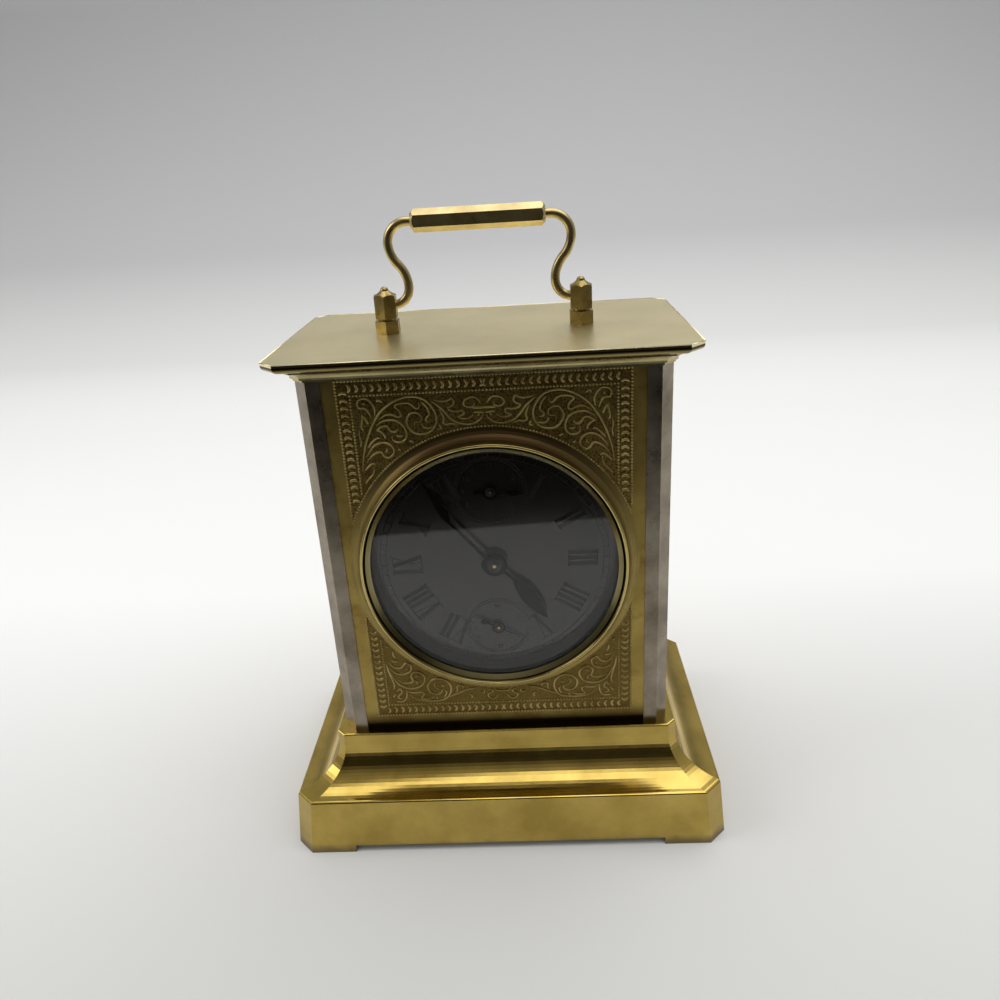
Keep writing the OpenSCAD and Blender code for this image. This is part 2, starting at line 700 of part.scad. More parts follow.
module minute_hand() {
    color(IRON) layer(CENTRE, minute_hand_y - hand_t, minute_hand_y) rotate(-minute_points) difference() {
        union() {
            circle(2.6);
            polygon([[-0.5, 0], [0.5, 0], [-1.35, 17.6], [0.1, 20.2], [0.1, 32.3], [-0.1, 32.3],
                [-2.5, 20.6], [-2.15, 17.6]]);
        }
        circle(centre_arbor_r + 0.02);
    }
}

module hour_hand() {
    color(IRON) layer(CENTRE, hour_hand_y - hand_t, hour_hand_y) rotate(-hour_points) difference() {
        union() {
            circle(3.6);
            polygon([[-1, 1.5], [0.1, 1.5], [-0.8, 8], [-1.7, 8]]);
            translate([-1.2, 6.2]) rotate(-3) leaf(16.4, 4.5);
        }
        circle(cannon_pipe_r + 0.15);
    }
}

module seconds_hand() {
    color(IRON) layer(FOURTH, small_hand_y - hand_t, small_hand_y) rotate(-seconds_points) difference() {
        union() {
            circle(2);
            polygon([[-0.3, -4.4], [0.3, -4.4], [0.1, 6.2], [-0.1, 6.2]]);
            translate([0, -4.6]) circle(0.9);
        }
        circle(thin_arbor_r + 0.02);
    }
}

module alarm_hand() {
    color(IRON) layer(ALARM, small_hand_y - hand_t, small_hand_y) rotate(-alarm_points) difference() {
        union() {
            circle(2.1);
            polygon([[-0.55, -4.4], [0.55, -4.4], [0.3, 0], [-0.3, 0]]);
            polygon([[-0.5, 0], [0.5, 0], [0.12, 9.4], [-0.12, 9.4]]);
            translate([0, 4]) leaf(4.4, 1.8);
        }
        circle(alarm_arbor_r + 0.02);
    }
}

// Movement

plate_high = 37;
PLATE_PILLARS = [for (x = [-1, 1], z = [-40.5, 33]) [x * (plate_w / 2 - 9), z]];

// Outline of a plate: two legs that stand on the base, an arch between them and rounded shoulders
module plate_outline() {
    low = base_h - centre_z;
    arch_r = plate_w / 2 - 15;
    difference() {
        union() {
            translate([-plate_w / 2, low]) square([plate_w, plate_high - low - 6]);
            translate([6 - plate_w / 2, plate_high - 7]) square([plate_w - 12, 7]);
            for (s = [-1, 1]) translate([s * (plate_w / 2 - 6), plate_high - 6]) circle(6);
        }
        translate([-arch_r, low - 1]) square([2 * arch_r, 5]);
        translate([0, low + 4]) intersection() {
            circle(arch_r);
            translate([-arch_r, 0]) square([2 * arch_r, 16]);
        }
    }
}

// Foot of a plate leg, bent in over the base
module plate_feet(y) {
    for (s = [-1, 1]) translate([s * seat_x - 5, y, base_h]) cube([10, seat_d, plate_t]);
}

module plate_screw_holes(from_y, to_y) {
    for (p = PLATE_PILLARS) arbor(p, from_y, to_y, screw_r + screw_fit);
}

module front_plate() {
    from = front_plate_y;
    to = gap_y;
    color(BRASS) difference() {
        union() {
            layer(CENTRE, from, to) plate_outline();
            plate_feet(gap_y - eps);
            // Stud of the minute wheel
            arbor(MOTION, from - 4, from + eps, stud_r);
        }
        at_seats() translate([0, 0, base_h - 1]) cylinder(h = plate_t + 2, r = screw_r + screw_fit);
        plate_screw_holes(from - 1, to + 1);
        for (s = [-1, 1]) arbor([s * 28, 12], from - 1, to + 1, 0.8 + screw_fit);
        arbor(CENTRE, from - 1, to + 1, centre_arbor_r + turn_fit);
        arbor(ALARM, from - 1, to + 1, alarm_arbor_r + turn_fit);
        arbor(BARREL, from - 1, to + 1, barrel_arbor_r + turn_fit);
        for (p = [THIRD, FOURTH, ESCAPE, LEVER, BALANCE]) arbor(p, from - 1, to + 1, thin_arbor_r + turn_fit);
    }
}

module back_plate() {
    from = back_plate_y;
    to = behind_y;
    color(BRASS) difference() {
        union() {
            layer(CENTRE, from, to) plate_outline();
            plate_feet(back_plate_y - seat_d + eps);
            // Studs of the click and of the release rod
            arbor(CLICK, to - eps, to + 2.6, stud_r);
            for (z = [-35, 5]) {
                arbor([STOP[0], z], to - eps, to + rod_t + 0.5, stud_r);
                arbor([STOP[0], z], to + rod_t + 0.45, to + rod_t + 1, 1.6);
            }
        }
        at_seats() translate([0, 0, base_h - 1]) cylinder(h = plate_t + 2, r = screw_r + screw_fit);
        plate_screw_holes(from - 1, to + 1);
        arbor(CENTRE, from - 1, to + 1, centre_arbor_r + turn_fit);
        arbor(ALARM, from - 1, to + 1, alarm_arbor_r + turn_fit);
        arbor(BARREL, from - 1, to + 1, barrel_arbor_r + turn_fit);
        for (p = [THIRD, FOURTH, ESCAPE, LEVER, BALANCE]) arbor(p, from - 1, to + 1, thin_arbor_r + turn_fit);
    }
}

// Turned pillars between the plates, with a waist
module plate_pillars() {
    color(BRASS) for (p = PLATE_PILLARS) difference() {
        union() {
            arbor(p, gap_y, back_plate_y, 2);
            arbor(p, gap_y, gap_y + 4, 2.8);
            arbor(p, back_plate_y - 4, back_plate_y, 2.8);
        }
        arbor(p, gap_y - 1, gap_y + 5, screw_r);
        arbor(p, back_plate_y - 5, back_plate_y + 1, screw_r);
    }
}

// Barrel: the toothed great wheel and the drum behind it
module mainspring_barrel() {
    drum_r = BARREL_TEETH * barrel_module / 2 - 0.7;
    color(BRASS) difference() {
        union() {
            layer(BARREL, gap_y + 2, gap_y + 3.4) teeth(BARREL_TEETH, barrel_module, barrel_turn);
            arbor(BARREL, gap_y + 3.3, gap_y + 18, drum_r - 0.5);
            arbor(BARREL, gap_y + 17.4, gap_y + 18.4, drum_r);
        }
        arbor(BARREL, gap_y, gap_y + 20, barrel_arbor_r + turn_fit);
    }
}

module barrel_arbor() {
    color(STEEL) {
        arbor(BARREL, front_plate_y + 0.3, outside_y + 5.4, barrel_arbor_r);
        arbor(BARREL, gap_y + 0.3, gap_y + 1.7, 4);
        arbor(BARREL, back_plate_y - 3, back_plate_y - 0.3, 4);
    }
}

// Ratchet with raked teeth
module ratchet_wheel() {
    n = 24;
    color(STEEL) layer(BARREL, behind_y + 0.4, behind_y + 2) difference() {
        polygon([for (i = [0:n - 1], k = [0, 1]) let (a = (i + 0.12 * k) * 360 / n) (ratchet_r - 1.3 * k) * [cos(a), sin(a)]]);
        circle(barrel_arbor_r + 0.02);
    }
}

// Click, drawn at the top of its lift, just clear of the ratchet's points
module click() {
    to_barrel = bearing(CLICK, BARREL);
    beak = norm(CLICK - BARREL) - ratchet_r - click_lift;
    color(STEEL) layer(CLICK, behind_y + 0.4, behind_y + 2) difference() {
        union() {
            circle(2.1);
            rotate(to_barrel) polygon([[0, -2.1], [beak - 1.2, -1.6], [beak, 0], [beak - 0.4, 0.6], [0, 2.1]]);
            rotate(to_barrel + 115) translate([0, -0.7]) square([5.2, 1.4]);
        }
        circle(stud_r + turn_fit);
    }
}

// Wing key: a hub and two pierced ears
module winding_key() {
    from = outside_y + 0.4;
    ear_r = 4.6;
    ear = [key_wing - ear_r, from + 6.2];
    color(BRASS) difference() {
        union() {
            arbor(BARREL, from, from + 7, 3.4);
            translate([BARREL[0], 0, centre_z + BARREL[1]]) rotate([0, 20, 0]) translate([0, 0, -1]) linear_extrude(2)
                for (s = [0, 1]) mirror([s, 0]) difference() {
                    union() {
                        translate(ear) circle(ear_r);
                        polygon([[0, from + 2.4], [3.2, from + 2.4], ear + [3.4, -3.1], ear + [-1, 4.4], [0, from + 6.8]]);
                    }
                    translate(ear) circle(ear_r / 2);
                }
        }
        arbor(BARREL, from - 1, from + 5.2, barrel_arbor_r + 0.02);
    }
}

module centre_wheel() {
    color(BRASS) {
        arbor(CENTRE, minute_hand_y - hand_t - 0.5, outside_y + 3.4, centre_arbor_r);
        layer(CENTRE, gap_y + 1.4, gap_y + 4) teeth(CENTRE_LEAVES, barrel_module, centre_turn);
        arbor(CENTRE, gap_y + 19.6, gap_y + 20.7, 2.4);
        layer(CENTRE, gap_y + 20.6, gap_y + 21.8) crossed(CENTRE_TEETH, centre_module, centre_turn, 2.6, 1.6, 5);
    }
}

module third_wheel() {
    color(BRASS) {
        arbor(THIRD, front_plate_y + 0.3, behind_y - 0.3, thin_arbor_r);
        layer(THIRD, gap_y + 20.2, gap_y + 22.2) teeth(THIRD_LEAVES, centre_module, third_turn);
        layer(THIRD, gap_y + 23, gap_y + 24.2) crossed(THIRD_TEETH, third_module, third_turn, 2, 1.4, 5);
    }
}

// The fourth arbor reaches through the dial and carries the seconds hand
module fourth_wheel() {
    color(BRASS) {
        arbor(FOURTH, small_hand_y - hand_t - 0.3, behind_y - 0.3, thin_arbor_r);
        layer(FOURTH, gap_y + 22.6, gap_y + 24.6) teeth(FOURTH_LEAVES, third_module, fourth_turn);
        layer(FOURTH, gap_y + 10.8, gap_y + 12) crossed(FOURTH_TEETH, fourth_module, fourth_turn, 1.8, 1.2, 4);
    }
}

escape_r = 4.4;

module escape_wheel() {
    step = 360 / ESCAPE_TEETH;
    color(BRASS) {
        arbor(ESCAPE, front_plate_y + 0.3, behind_y - 0.3, thin_arbor_r);
        layer(ESCAPE, gap_y + 10.4, gap_y + 12.4) teeth(ESCAPE_LEAVES, fourth_module, escape_turn);
        layer(ESCAPE, gap_y + 16.4, gap_y + 17.4) difference() {
            polygon([for (i = [0:ESCAPE_TEETH - 1], p = [[3.3, -0.3], [escape_r, -0.08], [escape_r, 0.08], [3.3, 0.14]])
                p[0] * [cos(step * (i + p[1])), sin(step * (i + p[1]))]]);
            difference() {
                circle(2.6);
                circle(1.3);
                for (i = [0:3]) rotate(90 * i) translate([0, -0.4]) square([3, 0.8]);
            }
        }
    }
}

lever_swing = 6;
pin_r = 0.2;
roller_pin_r = 2;

// Pin lever: an anchor with two upright pins, and a fork towards the balance
module pallet_lever() {
    pin_reach = escape_r + pin_r + 0.7;
    to_lever = bearing(ESCAPE, LEVER);
    fork = norm(BALANCE - LEVER) - roller_pin_r - 0.6;
    pins = [for (s = [-1, 1]) polar(ESCAPE, pin_reach, to_lever + s * 28) - LEVER];
    color(BRASS) {
        arbor(LEVER, front_plate_y + 0.3, behind_y - 0.3, thin_arbor_r);
        layer(LEVER, gap_y + 14.4, gap_y + 15.6) {
            circle(1.5);
            for (p = pins) {
                translate(p) circle(0.7);
                rotate(atan2(p[1], p[0])) translate([0, -0.5]) square([norm(p), 1]);
            }
            rotate(bearing(LEVER, BALANCE)) difference() {
                polygon([[0, -0.7], [fork - 1.6, -0.5], [fork, -1.1], [fork, 1.1], [fork - 1.6, 0.5], [0, 0.7]]);
                translate([fork - 1, -0.35]) square([1.2, 0.7]);
            }
        }
        for (p = pins) arbor(LEVER + p, gap_y + 15.5, gap_y + 18, pin_r);
    }
}

// Balance: rim with two arms, roller and impulse pin
module balance_wheel() {
    color(GILT) {
        arbor(BALANCE, front_plate_y + 0.3, behind_y - 0.3, thin_arbor_r);
        layer(BALANCE, gap_y + 20.2, gap_y + 21.8) {
            difference() {
                circle(balance_r);
                circle(balance_r - 1.3);
            }
            circle(1.6);
            rotate(35) translate([-balance_r + 0.6, -0.6]) square([2 * balance_r - 1.2, 1.2]);
        }
        arbor(BALANCE, gap_y + 17.4, gap_y + 18.4, roller_pin_r + 0.8);
        arbor(polar(BALANCE, roller_pin_r, bearing(BALANCE, LEVER)), gap_y + 14.6, gap_y + 17.5, 0.25);
    }
}

// Hairspring: a flat spiral strip from the collet out to its stud
spring_turns = 5;
spring_in = 1.5;
spring_out = 5.6;
spring_t = 0.22;
function spring_point(i, side) = let (a = 360 * i / 24, r = spring_in + (spring_out - spring_in) * i / (24 * spring_turns))
    (r + side * spring_t / 2) * [cos(a), sin(a)];
spring_points = [for (i = [0:24 * spring_turns]) spring_point(i, 0)];
least_spring_gap = min([for (i = [24:24 * spring_turns]) norm(spring_points[i] - spring_points[i - 24])]) - spring_t;
echo(least_gap_of_the_hairspring_to_itself = least_spring_gap);

module hairspring() {
    n = 24 * spring_turns;
    color(STEEL) {
        layer(BALANCE, gap_y + 23, gap_y + 23.8) polygon(concat(
            [for (i = [0:n]) spring_point(i, 1)], [for (i = [n:-1:0]) spring_point(i, -1)]));
        arbor(BALANCE + [spring_out, 0], gap_y + 22.6, back_plate_y, 0.45);
        layer(BALANCE, gap_y + 23, gap_y + 23.8) difference() {
            circle(spring_in);
            circle(thin_arbor_r + 0.02);
        }
    }
}

// Motion work between the front plate and the dial

module cannon_pinion() {
    to = front_plate_y - 0.3;
    color(STEEL) difference() {
        union() {
            layer(CENTRE, to - 1.4, to) teeth(CANNON_LEAVES, motion_module, centre_turn);
            arbor(CENTRE, minute_hand_y + 0.02, to, cannon_pipe_r);
        }
        arbor(CENTRE, minute_hand_y - 1, to + 1, centre_arbor_r + 0.02);
    }
}

module minute_wheel() {
    to = front_plate_y - 0.3;
    color(BRASS) difference() {
        union() {
            layer(MOTION, to - 1.4, to) teeth(MINUTE_TEETH, motion_module, minute_turn);
            layer(MOTION, to - 3.6, to - 1.3) teeth(MINUTE_LEAVES, hour_module, minute_turn);
        }
        arbor(MOTION, to - 5, to + 1, stud_r + turn_fit);
    }
}

module hour_wheel() {
    to = front_plate_y - 2.3;
    color(BRASS) difference() {
        union() {
            layer(CENTRE, to - 1.3, to) teeth(HOUR_TEETH, hour_module, hour_turn);
            arbor(CENTRE, hour_hand_y + 0.02, to, hour_pipe_r);
        }
        arbor(CENTRE, hour_hand_y - 1, to + 1, cannon_pipe_r + turn_fit);
    }
}

module alarm_wheel() {
    to = front_plate_y - 2.3;
    color(BRASS) difference() {
        layer(ALARM, to - 1.3, to) crossed(HOUR_TEETH, hour_module, alarm_turn, 2.4, 1.6, 4);
        arbor(ALARM, to - 3, to + 1, alarm_arbor_r + turn_fit);
    }
}

module alarm_arbor() {
    color(STEEL) {
        arbor(ALARM, small_hand_y - hand_t - 0.3, outside_y + 3.4, alarm_arbor_r);
        arbor(ALARM, front_plate_y - 2.2, front_plate_y - 0.3, 1.8);
    }
}

// Knurled knob with a fluted rim
module knob(at, bore) {
    flutes = 20;
    from = outside_y + 0.4;
    color(BRASS) difference() {
        union() {
            arbor(at, from, from + 1.4, 2.6);
            arbor(at, from + 1.3, from + 1.3 + knob_t, knob_r);
        }
        for (i = [0:flutes - 1]) arbor(polar(at, knob_r + 0.25, 360 * i / flutes), from + 1, from + 2 + knob_t, 0.5);
        arbor(at, from - 1, from + 3.2, bore + 0.02);
    }
}

module alarm_knob() {
    knob(ALARM, alarm_arbor_r);
}

module set_knob() {
    knob(CENTRE, centre_arbor_r);
}

// Push and pull knob that silences the music
module stop_knob() {
    color(BRASS) {
        arbor(STOP, behind_y + 0.6, outside_y + 5, stop_r);
        arbor(STOP, outside_y + 4.4, outside_y + 7, 3);
        arbor(STOP, outside_y + 6.9, outside_y + 7.6, 2.4);
    }
}

// Flat rod behind the movement. It slides up on two studs to free the fly.
module release_rod() {
    x = STOP[0];
    low = axle_z - 6;
    high = centre_z + STOP[1] - stop_r - rod_lift - 0.5;
    from = behind_y + 0.25;
    color(STEEL) difference() {
        union() {
            translate([x - rod_w / 2, from, low]) cube([rod_w, rod_t, high - low]);
            translate([worm_x + wing_r + 0.2, from, low]) cube([x - worm_x - wing_r - 0.2, rod_t, 1.8]);
        }
        for (z = [-35, 5]) {
            arbor([x, z], from - 1, from + 3, stud_r + screw_fit);
            arbor([x, z - rod_lift], from - 1, from + 3, stud_r + screw_fit);
            translate([x - stud_r - screw_fit, from - 1, centre_z + z - rod_lift]) cube([2 * (stud_r + screw_fit), 4, rod_lift]);
        }
    }
}

// Music box

// Turned bar along X
module lying(x0, x1, y, z, r) {
    translate([x0, y, z]) rotate([0, 90, 0]) cylinder(h = x1 - x0, r = r);
}

bed_x0 = MUSIC[0] - 15;
bed_x1 = worm_x + 4.6;
bed_y = 20;

// Cast bedplate on the well's roof, with two legs and the rail that carries the comb
module music_bedplate() {
    color(GILT) difference() {
        union() {
            translate([bed_x0, -bed_y, well_top]) cube([bed_x1 - bed_x0, 2 * bed_y, bed_t]);
            for (s = [-1, 1]) translate([bed_x1 - 5, s * (bed_y - 5), bottom_z + bottom_t])
                cylinder(h = well_top - bottom_z - bottom_t + 1, r = 2.5);
            translate([cylinder_x - 0.8, -bed_y, well_top + bed_t - eps]) cube([cylinder_l + 1.6, 5, axle_z - 0.4 - well_top - bed_t]);
        }
        translate([MUSIC[0], MUSIC[1], well_top - 1]) cylinder(h = bed_t + 2, r = barrel_arbor_r + turn_fit);
        translate([worm_x, fly_y, well_top - 1]) cylinder(h = bed_t + 2, r = 0.5 + turn_fit);
    }
}

// Spring barrel of the music box, with a spur ring at its top
module music_barrel() {
    color(BRASS) difference() {
        union() {
            translate([MUSIC[0], MUSIC[1], drum_z]) cylinder(h = drum_top - drum_z, r = music_r - 1.1);
            translate([MUSIC[0], MUSIC[1], drum_top - eps]) cylinder(h = ring_z - drum_top + 0.1, r = music_r - 1.4);
            translate([MUSIC[0], MUSIC[1], ring_z]) linear_extrude(ring_t) music_teeth();
        }
        translate([MUSIC[0], MUSIC[1], drum_z - 1]) cylinder(h = 20, r = barrel_arbor_r + turn_fit);
    }
}

// Spur ring whose tooth gaps meet the crown wheel on plus X
module music_teeth() {
    step = 360 / MUSIC_TEETH;
    m = music_module;
    across = [[music_r - 1.2 * m, 0.2], [music_r, 0.16], [music_r + 0.8 * m, 0.08]];
    polygon([for (i = [0:MUSIC_TEETH - 1], k = [-2.5:1:2.5])
        let (p = across[k < 0 ? k + 2.5 : 2.5 - k], a = step * (i + 0.5 + sign(k) * p[1]))
        p[0] * [cos(a), sin(a)]]);
}

// Winding key below the well, with the arbor that runs up through the barrel
module music_key() {
    color(STEEL) {
        translate([MUSIC[0], MUSIC[1], 7.4]) cylinder(h = drum_top + 2.6 - 7.4, r = barrel_arbor_r);
        difference() {
            union() {
                translate([MUSIC[0], MUSIC[1], 2.4]) cylinder(h = 6, r = 3.2);
                translate([MUSIC[0], MUSIC[1] + 0.8, 0]) rotate([90, 0, 0]) linear_extrude(1.6) {
                    for (s = [-1, 1]) translate([s * 7.4, 4.9]) circle(3.6);
                    translate([-7.4, 3.4]) square([14.8, 3]);
                }
            }
            for (s = [-1, 1]) translate([MUSIC[0] + s * 7.4, MUSIC[1] + 2, 4.9]) rotate([90, 0, 0]) cylinder(h = 4, r = 1.8);
        }
    }
}

// Pinned cylinder with a crown wheel towards the barrel and a spur gear at its other end
PIN_ROWS = 18;
module music_cylinder() {
    crown_step = 360 / CROWN_TEETH;
    end_turn = 0;
    color(BRASS) {
        lying(crown_face_x, bracket_x + 1, 0, axle_z, 0.8);
        lying(crown_face_x, crown_face_x + 1, 0, axle_z, crown_r + 0.5);
        for (i = [0:CROWN_TEETH - 1]) translate([0, 0, axle_z]) rotate([crown_step * i, 0, 0])
            translate([crown_face_x - crown_depth, -0.25, crown_r - 0.5]) cube([crown_depth + 0.3, 0.5, 0.95]);
        lying(cylinder_x, cylinder_x + cylinder_l, 0, axle_z, cylinder_r);
        translate([end_x, 0, axle_z]) rotate([90, 0, 90]) linear_extrude(1.2) teeth(END_TEETH, end_module, end_turn);
        for (i = [0:PIN_ROWS - 1], k = [0:2]) translate([cylinder_x + 0.7 + i * (cylinder_l - 1.4) / (PIN_ROWS - 1), 0, axle_z])
            rotate([137.5 * i + 97 * k + 31, 0, 0]) cylinder(h = cylinder_r + pin_h, r = 0.16, $fn = 6);
    }
}

// Steel comb: a plate whose front is sawn into tapered teeth
module music_comb() {
    tip_y = -(cylinder_r + pin_h + comb_gap);
    root_y = tip_y - 9;
    back_y = -bed_y + 0.2;
    pitch = (cylinder_l - 1.4) / (PIN_ROWS - 1);
    x0 = cylinder_x + 0.7;
    color(STEEL) translate([0, 0, axle_z - 0.4]) difference() {
        linear_extrude(0.9) {
            translate([cylinder_x - 0.6, back_y]) square([cylinder_l + 1.2, root_y - back_y]);
            for (i = [0:PIN_ROWS - 1]) translate([x0 + i * pitch, 0])
                polygon([[-0.36, root_y - eps], [0.36, root_y - eps], [0.2, tip_y], [-0.2, tip_y]]);
        }
        for (i = [0:2]) translate([x0 + 2 + i * (cylinder_l - 5.4) / 2, -bed_y + 2.5, -1]) cylinder(h = 3, r = 1);
    }
}

// Bridge over the music barrel, with the left bearing of the cylinder
module music_bridge() {
    low = well_top + bed_t;
    high = ring_z + ring_t + 0.5;
    wide = music_r + 3.4;
    bearing_x = crown_face_x + 1.2;
    color(BRASS) difference() {
        union() {
            translate([MUSIC[0] - 3, -wide, high]) cube([6, 2 * wide, 1.3]);
            for (s = [-1, 1]) translate([MUSIC[0] - 3, s > 0 ? wide - 1.6 : -wide, low]) cube([6, 1.6, high - low + 0.5]);
            translate([bearing_x, -2.6, low]) cube([1.1, 5.2, axle_z - low]);
            lying(bearing_x, bearing_x + 1.1, 0, axle_z, 2.6);
            translate([bearing_x, -7.5, low]) cube([1.1, 15, 1.4]);
            translate([MUSIC[0] + 2, -2.2, high]) cube([bearing_x - MUSIC[0] - 1, 4.4, 1.3]);
            translate([bearing_x, -2.2, axle_z]) cube([1.1, 4.4, high - axle_z + 1.3]);
        }
        translate([MUSIC[0], MUSIC[1], high - 1]) cylinder(h = 4, r = barrel_arbor_r + turn_fit);
        lying(bearing_x - 1, bearing_x + 2, 0, axle_z, 0.8 + turn_fit);
    }
}

// Bracket that carries the cylinder's right end, the governor arbor and the top of the fly
module governor_bracket() {
    low = well_top + bed_t;
    top = axle_z + 7.4;
    color(BRASS) difference() {
        union() {
            translate([bracket_x, 0, 0]) rotate([90, 0, 90]) linear_extrude(1.2) polygon([
                [-6, low], [5.4, low], [5.4, low + 3.6], [governor_reach + 2.4, axle_z - 2.4],
                [governor_reach + 2.4, axle_z + 2.4], [fly_y + 2, top - 2.6], [fly_y + 2, top], [-3, top], [-6, top - 3]]);
            translate([bracket_x, fly_y - 2.2, top - 1.2]) cube([worm_x - bracket_x + 2, 4.2, 1.2]);
        }
        lying(bracket_x - 1, bracket_x + 3, 0, axle_z, 0.8 + turn_fit);
        lying(bracket_x - 1, bracket_x + 3, governor_reach, axle_z, thin_arbor_r + turn_fit);
        translate([worm_x, fly_y, top - 3]) cylinder(h = 5, r = 0.5 + turn_fit);
    }
}

// Governor arbor: pinion on the cylinder's gear, worm wheel beyond the bracket
module governor_wheel() {
    turn = mesh(0, 0, END_TEETH, GOVERNOR_LEAVES);
    color(BRASS) {
        lying(end_x - 0.3, worm_x + 1, governor_reach, axle_z, thin_arbor_r);
        translate([end_x - 0.1, governor_reach, axle_z]) rotate([90, 0, 90]) linear_extrude(1.5)
            teeth(GOVERNOR_LEAVES, end_module, turn);
        translate([worm_x - 0.5, governor_reach, axle_z]) rotate([90, 0, 90]) linear_extrude(1)
            teeth(WORM_TEETH, 2 * worm_wheel_r / (WORM_TEETH + 1.6), 0);
    }
}

// Air brake: an upright shaft with a plain worm shank and two wings
module governor_fly() {
    low = well_top + 0.3;
    top = axle_z + 7.4;
    color(STEEL) translate([worm_x, fly_y, 0]) {
        translate([0, 0, low]) cylinder(h = top - low, r = 0.5);
        translate([0, 0, axle_z - 3.4]) cylinder(h = 7.4, r = fly_r);
        translate([-wing_r, -0.3, well_top + bed_t + 0.6]) cube([2 * wing_r, 0.6, 2.4]);
    }
}

base_moulding();
bottom_plate();
pillar(-1, -1);  // pillar_front_left
pillar(1, -1);  // pillar_front_right
pillar(-1, 1);  // pillar_rear_left
pillar(1, 1);  // pillar_rear_right
front_panel();
side_panel(-1);  // side_panel_left
side_panel(1);  // side_panel_right
rear_panel();
cornice();
top_plate();
machine_screws();
bezel();
crystal();
crystal_ring();
handle_post(-1);  // handle_post_left
handle_post(1);  // handle_post_right
handle_nuts();
handle_arm(-1);  // handle_arm_left
handle_arm(1);  // handle_arm_right
handle_grip();
dial();
hour_hand();
minute_hand();
seconds_hand();
alarm_hand();
front_plate();
back_plate();
plate_pillars();
mainspring_barrel();
barrel_arbor();
ratchet_wheel();
click();
winding_key();
centre_wheel();
third_wheel();
fourth_wheel();
escape_wheel();
pallet_lever();
balance_wheel();
hairspring();
cannon_pinion();
minute_wheel();
hour_wheel();
alarm_wheel();
alarm_arbor();
alarm_knob();
set_knob();
stop_knob();
release_rod();
music_bedplate();
music_barrel();
music_key();
music_cylinder();
music_comb();
music_bridge();
governor_bracket();
governor_wheel();
governor_fly();
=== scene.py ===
"""Dress the musical carriage clock: pressed ornament, dial printing, turned details and finishes."""
import logging
import math
from dataclasses import dataclass, field
from enum import Enum
from typing import Any, Iterable, Mapping, Sequence

import bmesh
import bpy
from mathutils import Matrix, Vector


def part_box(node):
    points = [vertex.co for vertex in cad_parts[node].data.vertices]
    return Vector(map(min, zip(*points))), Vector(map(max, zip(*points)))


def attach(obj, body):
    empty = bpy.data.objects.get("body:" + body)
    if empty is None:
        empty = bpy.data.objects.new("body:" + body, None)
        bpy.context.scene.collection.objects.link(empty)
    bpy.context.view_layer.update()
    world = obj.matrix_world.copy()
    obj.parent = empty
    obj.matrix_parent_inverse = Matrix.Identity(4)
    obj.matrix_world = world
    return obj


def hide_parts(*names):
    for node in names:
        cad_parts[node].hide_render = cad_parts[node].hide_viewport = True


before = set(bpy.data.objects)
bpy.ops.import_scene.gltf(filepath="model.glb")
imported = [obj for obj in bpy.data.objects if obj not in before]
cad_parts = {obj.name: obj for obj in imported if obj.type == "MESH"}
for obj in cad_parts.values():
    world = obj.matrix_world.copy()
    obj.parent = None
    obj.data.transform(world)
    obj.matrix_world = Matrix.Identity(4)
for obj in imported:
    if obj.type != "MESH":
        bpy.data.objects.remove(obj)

log = logging.getLogger("carriage_clock")
MM = 0.001
Point = tuple[float, float]
Triple = tuple[float, float, float]
Tree = bpy.types.NodeTree
Socket = bpy.types.NodeSocket
Shape = bmesh.types.BMesh
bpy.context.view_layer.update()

# Shared sizes of the case, in millimetres
CENTRE_Z = 86.5
PANEL_FACE = 27.7
DIAL_FACE = 24.9
SUBDIAL_OFFSET = 21.0
TOP_FACE_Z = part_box("top_plate")[1][2] / MM


# Helpers


def linear(code: str, alpha: float = 1.0) -> tuple[float, float, float, float]:
    """Turn an sRGB hex colour to linear.

    Args:
        code: Colour as RRGGBB.
        alpha: Opacity to carry along.

    Returns:
        Linear red, green and blue with the opacity.
    """
    parts = [int(code[i : i + 2], 16) / 255 for i in (0, 2, 4)]
    red, green, blue = (p / 12.92 if p <= 0.04045 else ((p + 0.055) / 1.055) ** 2.4 for p in parts)
    return red, green, blue, alpha


def add_node(
    tree: Tree,
    kind: str,
    inputs: Mapping[str | int, Any] | None = None,
    stops: Sequence[tuple[float, str]] = (),
    **settings: Any,
) -> bpy.types.Node:
    """Add a shader node with its settings and links.

    Args:
        tree: Node tree to add to.
        kind: Node type without its ShaderNode prefix.
        inputs: Value or output socket for each input, by name or place.
        stops: Place and sRGB hex colour of each stop of a colour ramp.
        settings: Properties of the node.

    Returns:
        The new node.
    """
    node = tree.nodes.new("ShaderNode" + kind)
    for name, value in settings.items():
        setattr(node, name, value)
    for key, value in (inputs or {}).items():
        if isinstance(value, Socket):
            tree.links.new(value, node.inputs[key])
        else:
            node.inputs[key].default_value = value
    for i, (place, code) in enumerate(stops):
        element = node.color_ramp.elements[i] if i < 2 else node.color_ramp.elements.new(place)
        element.position = place
        element.color = linear(code)
    return node


def off_axis(tree: Tree, place: Socket) -> Socket:
    """Measure how far a place lies from the dial's axis.

    Args:
        tree: Node tree of the material.
        place: Place on the object, in millimetres.

    Returns:
        Distance in millimetres.
    """
    parts = add_node(tree, "SeparateXYZ", {0: place}).outputs
    up = add_node(tree, "Math", {0: parts["Z"], 1: CENTRE_Z}, operation="SUBTRACT").outputs[0]
    flat = add_node(tree, "CombineXYZ", {0: parts["X"], 1: up}).outputs[0]
    return add_node(tree, "VectorMath", {0: flat}, operation="LENGTH").outputs["Value"]


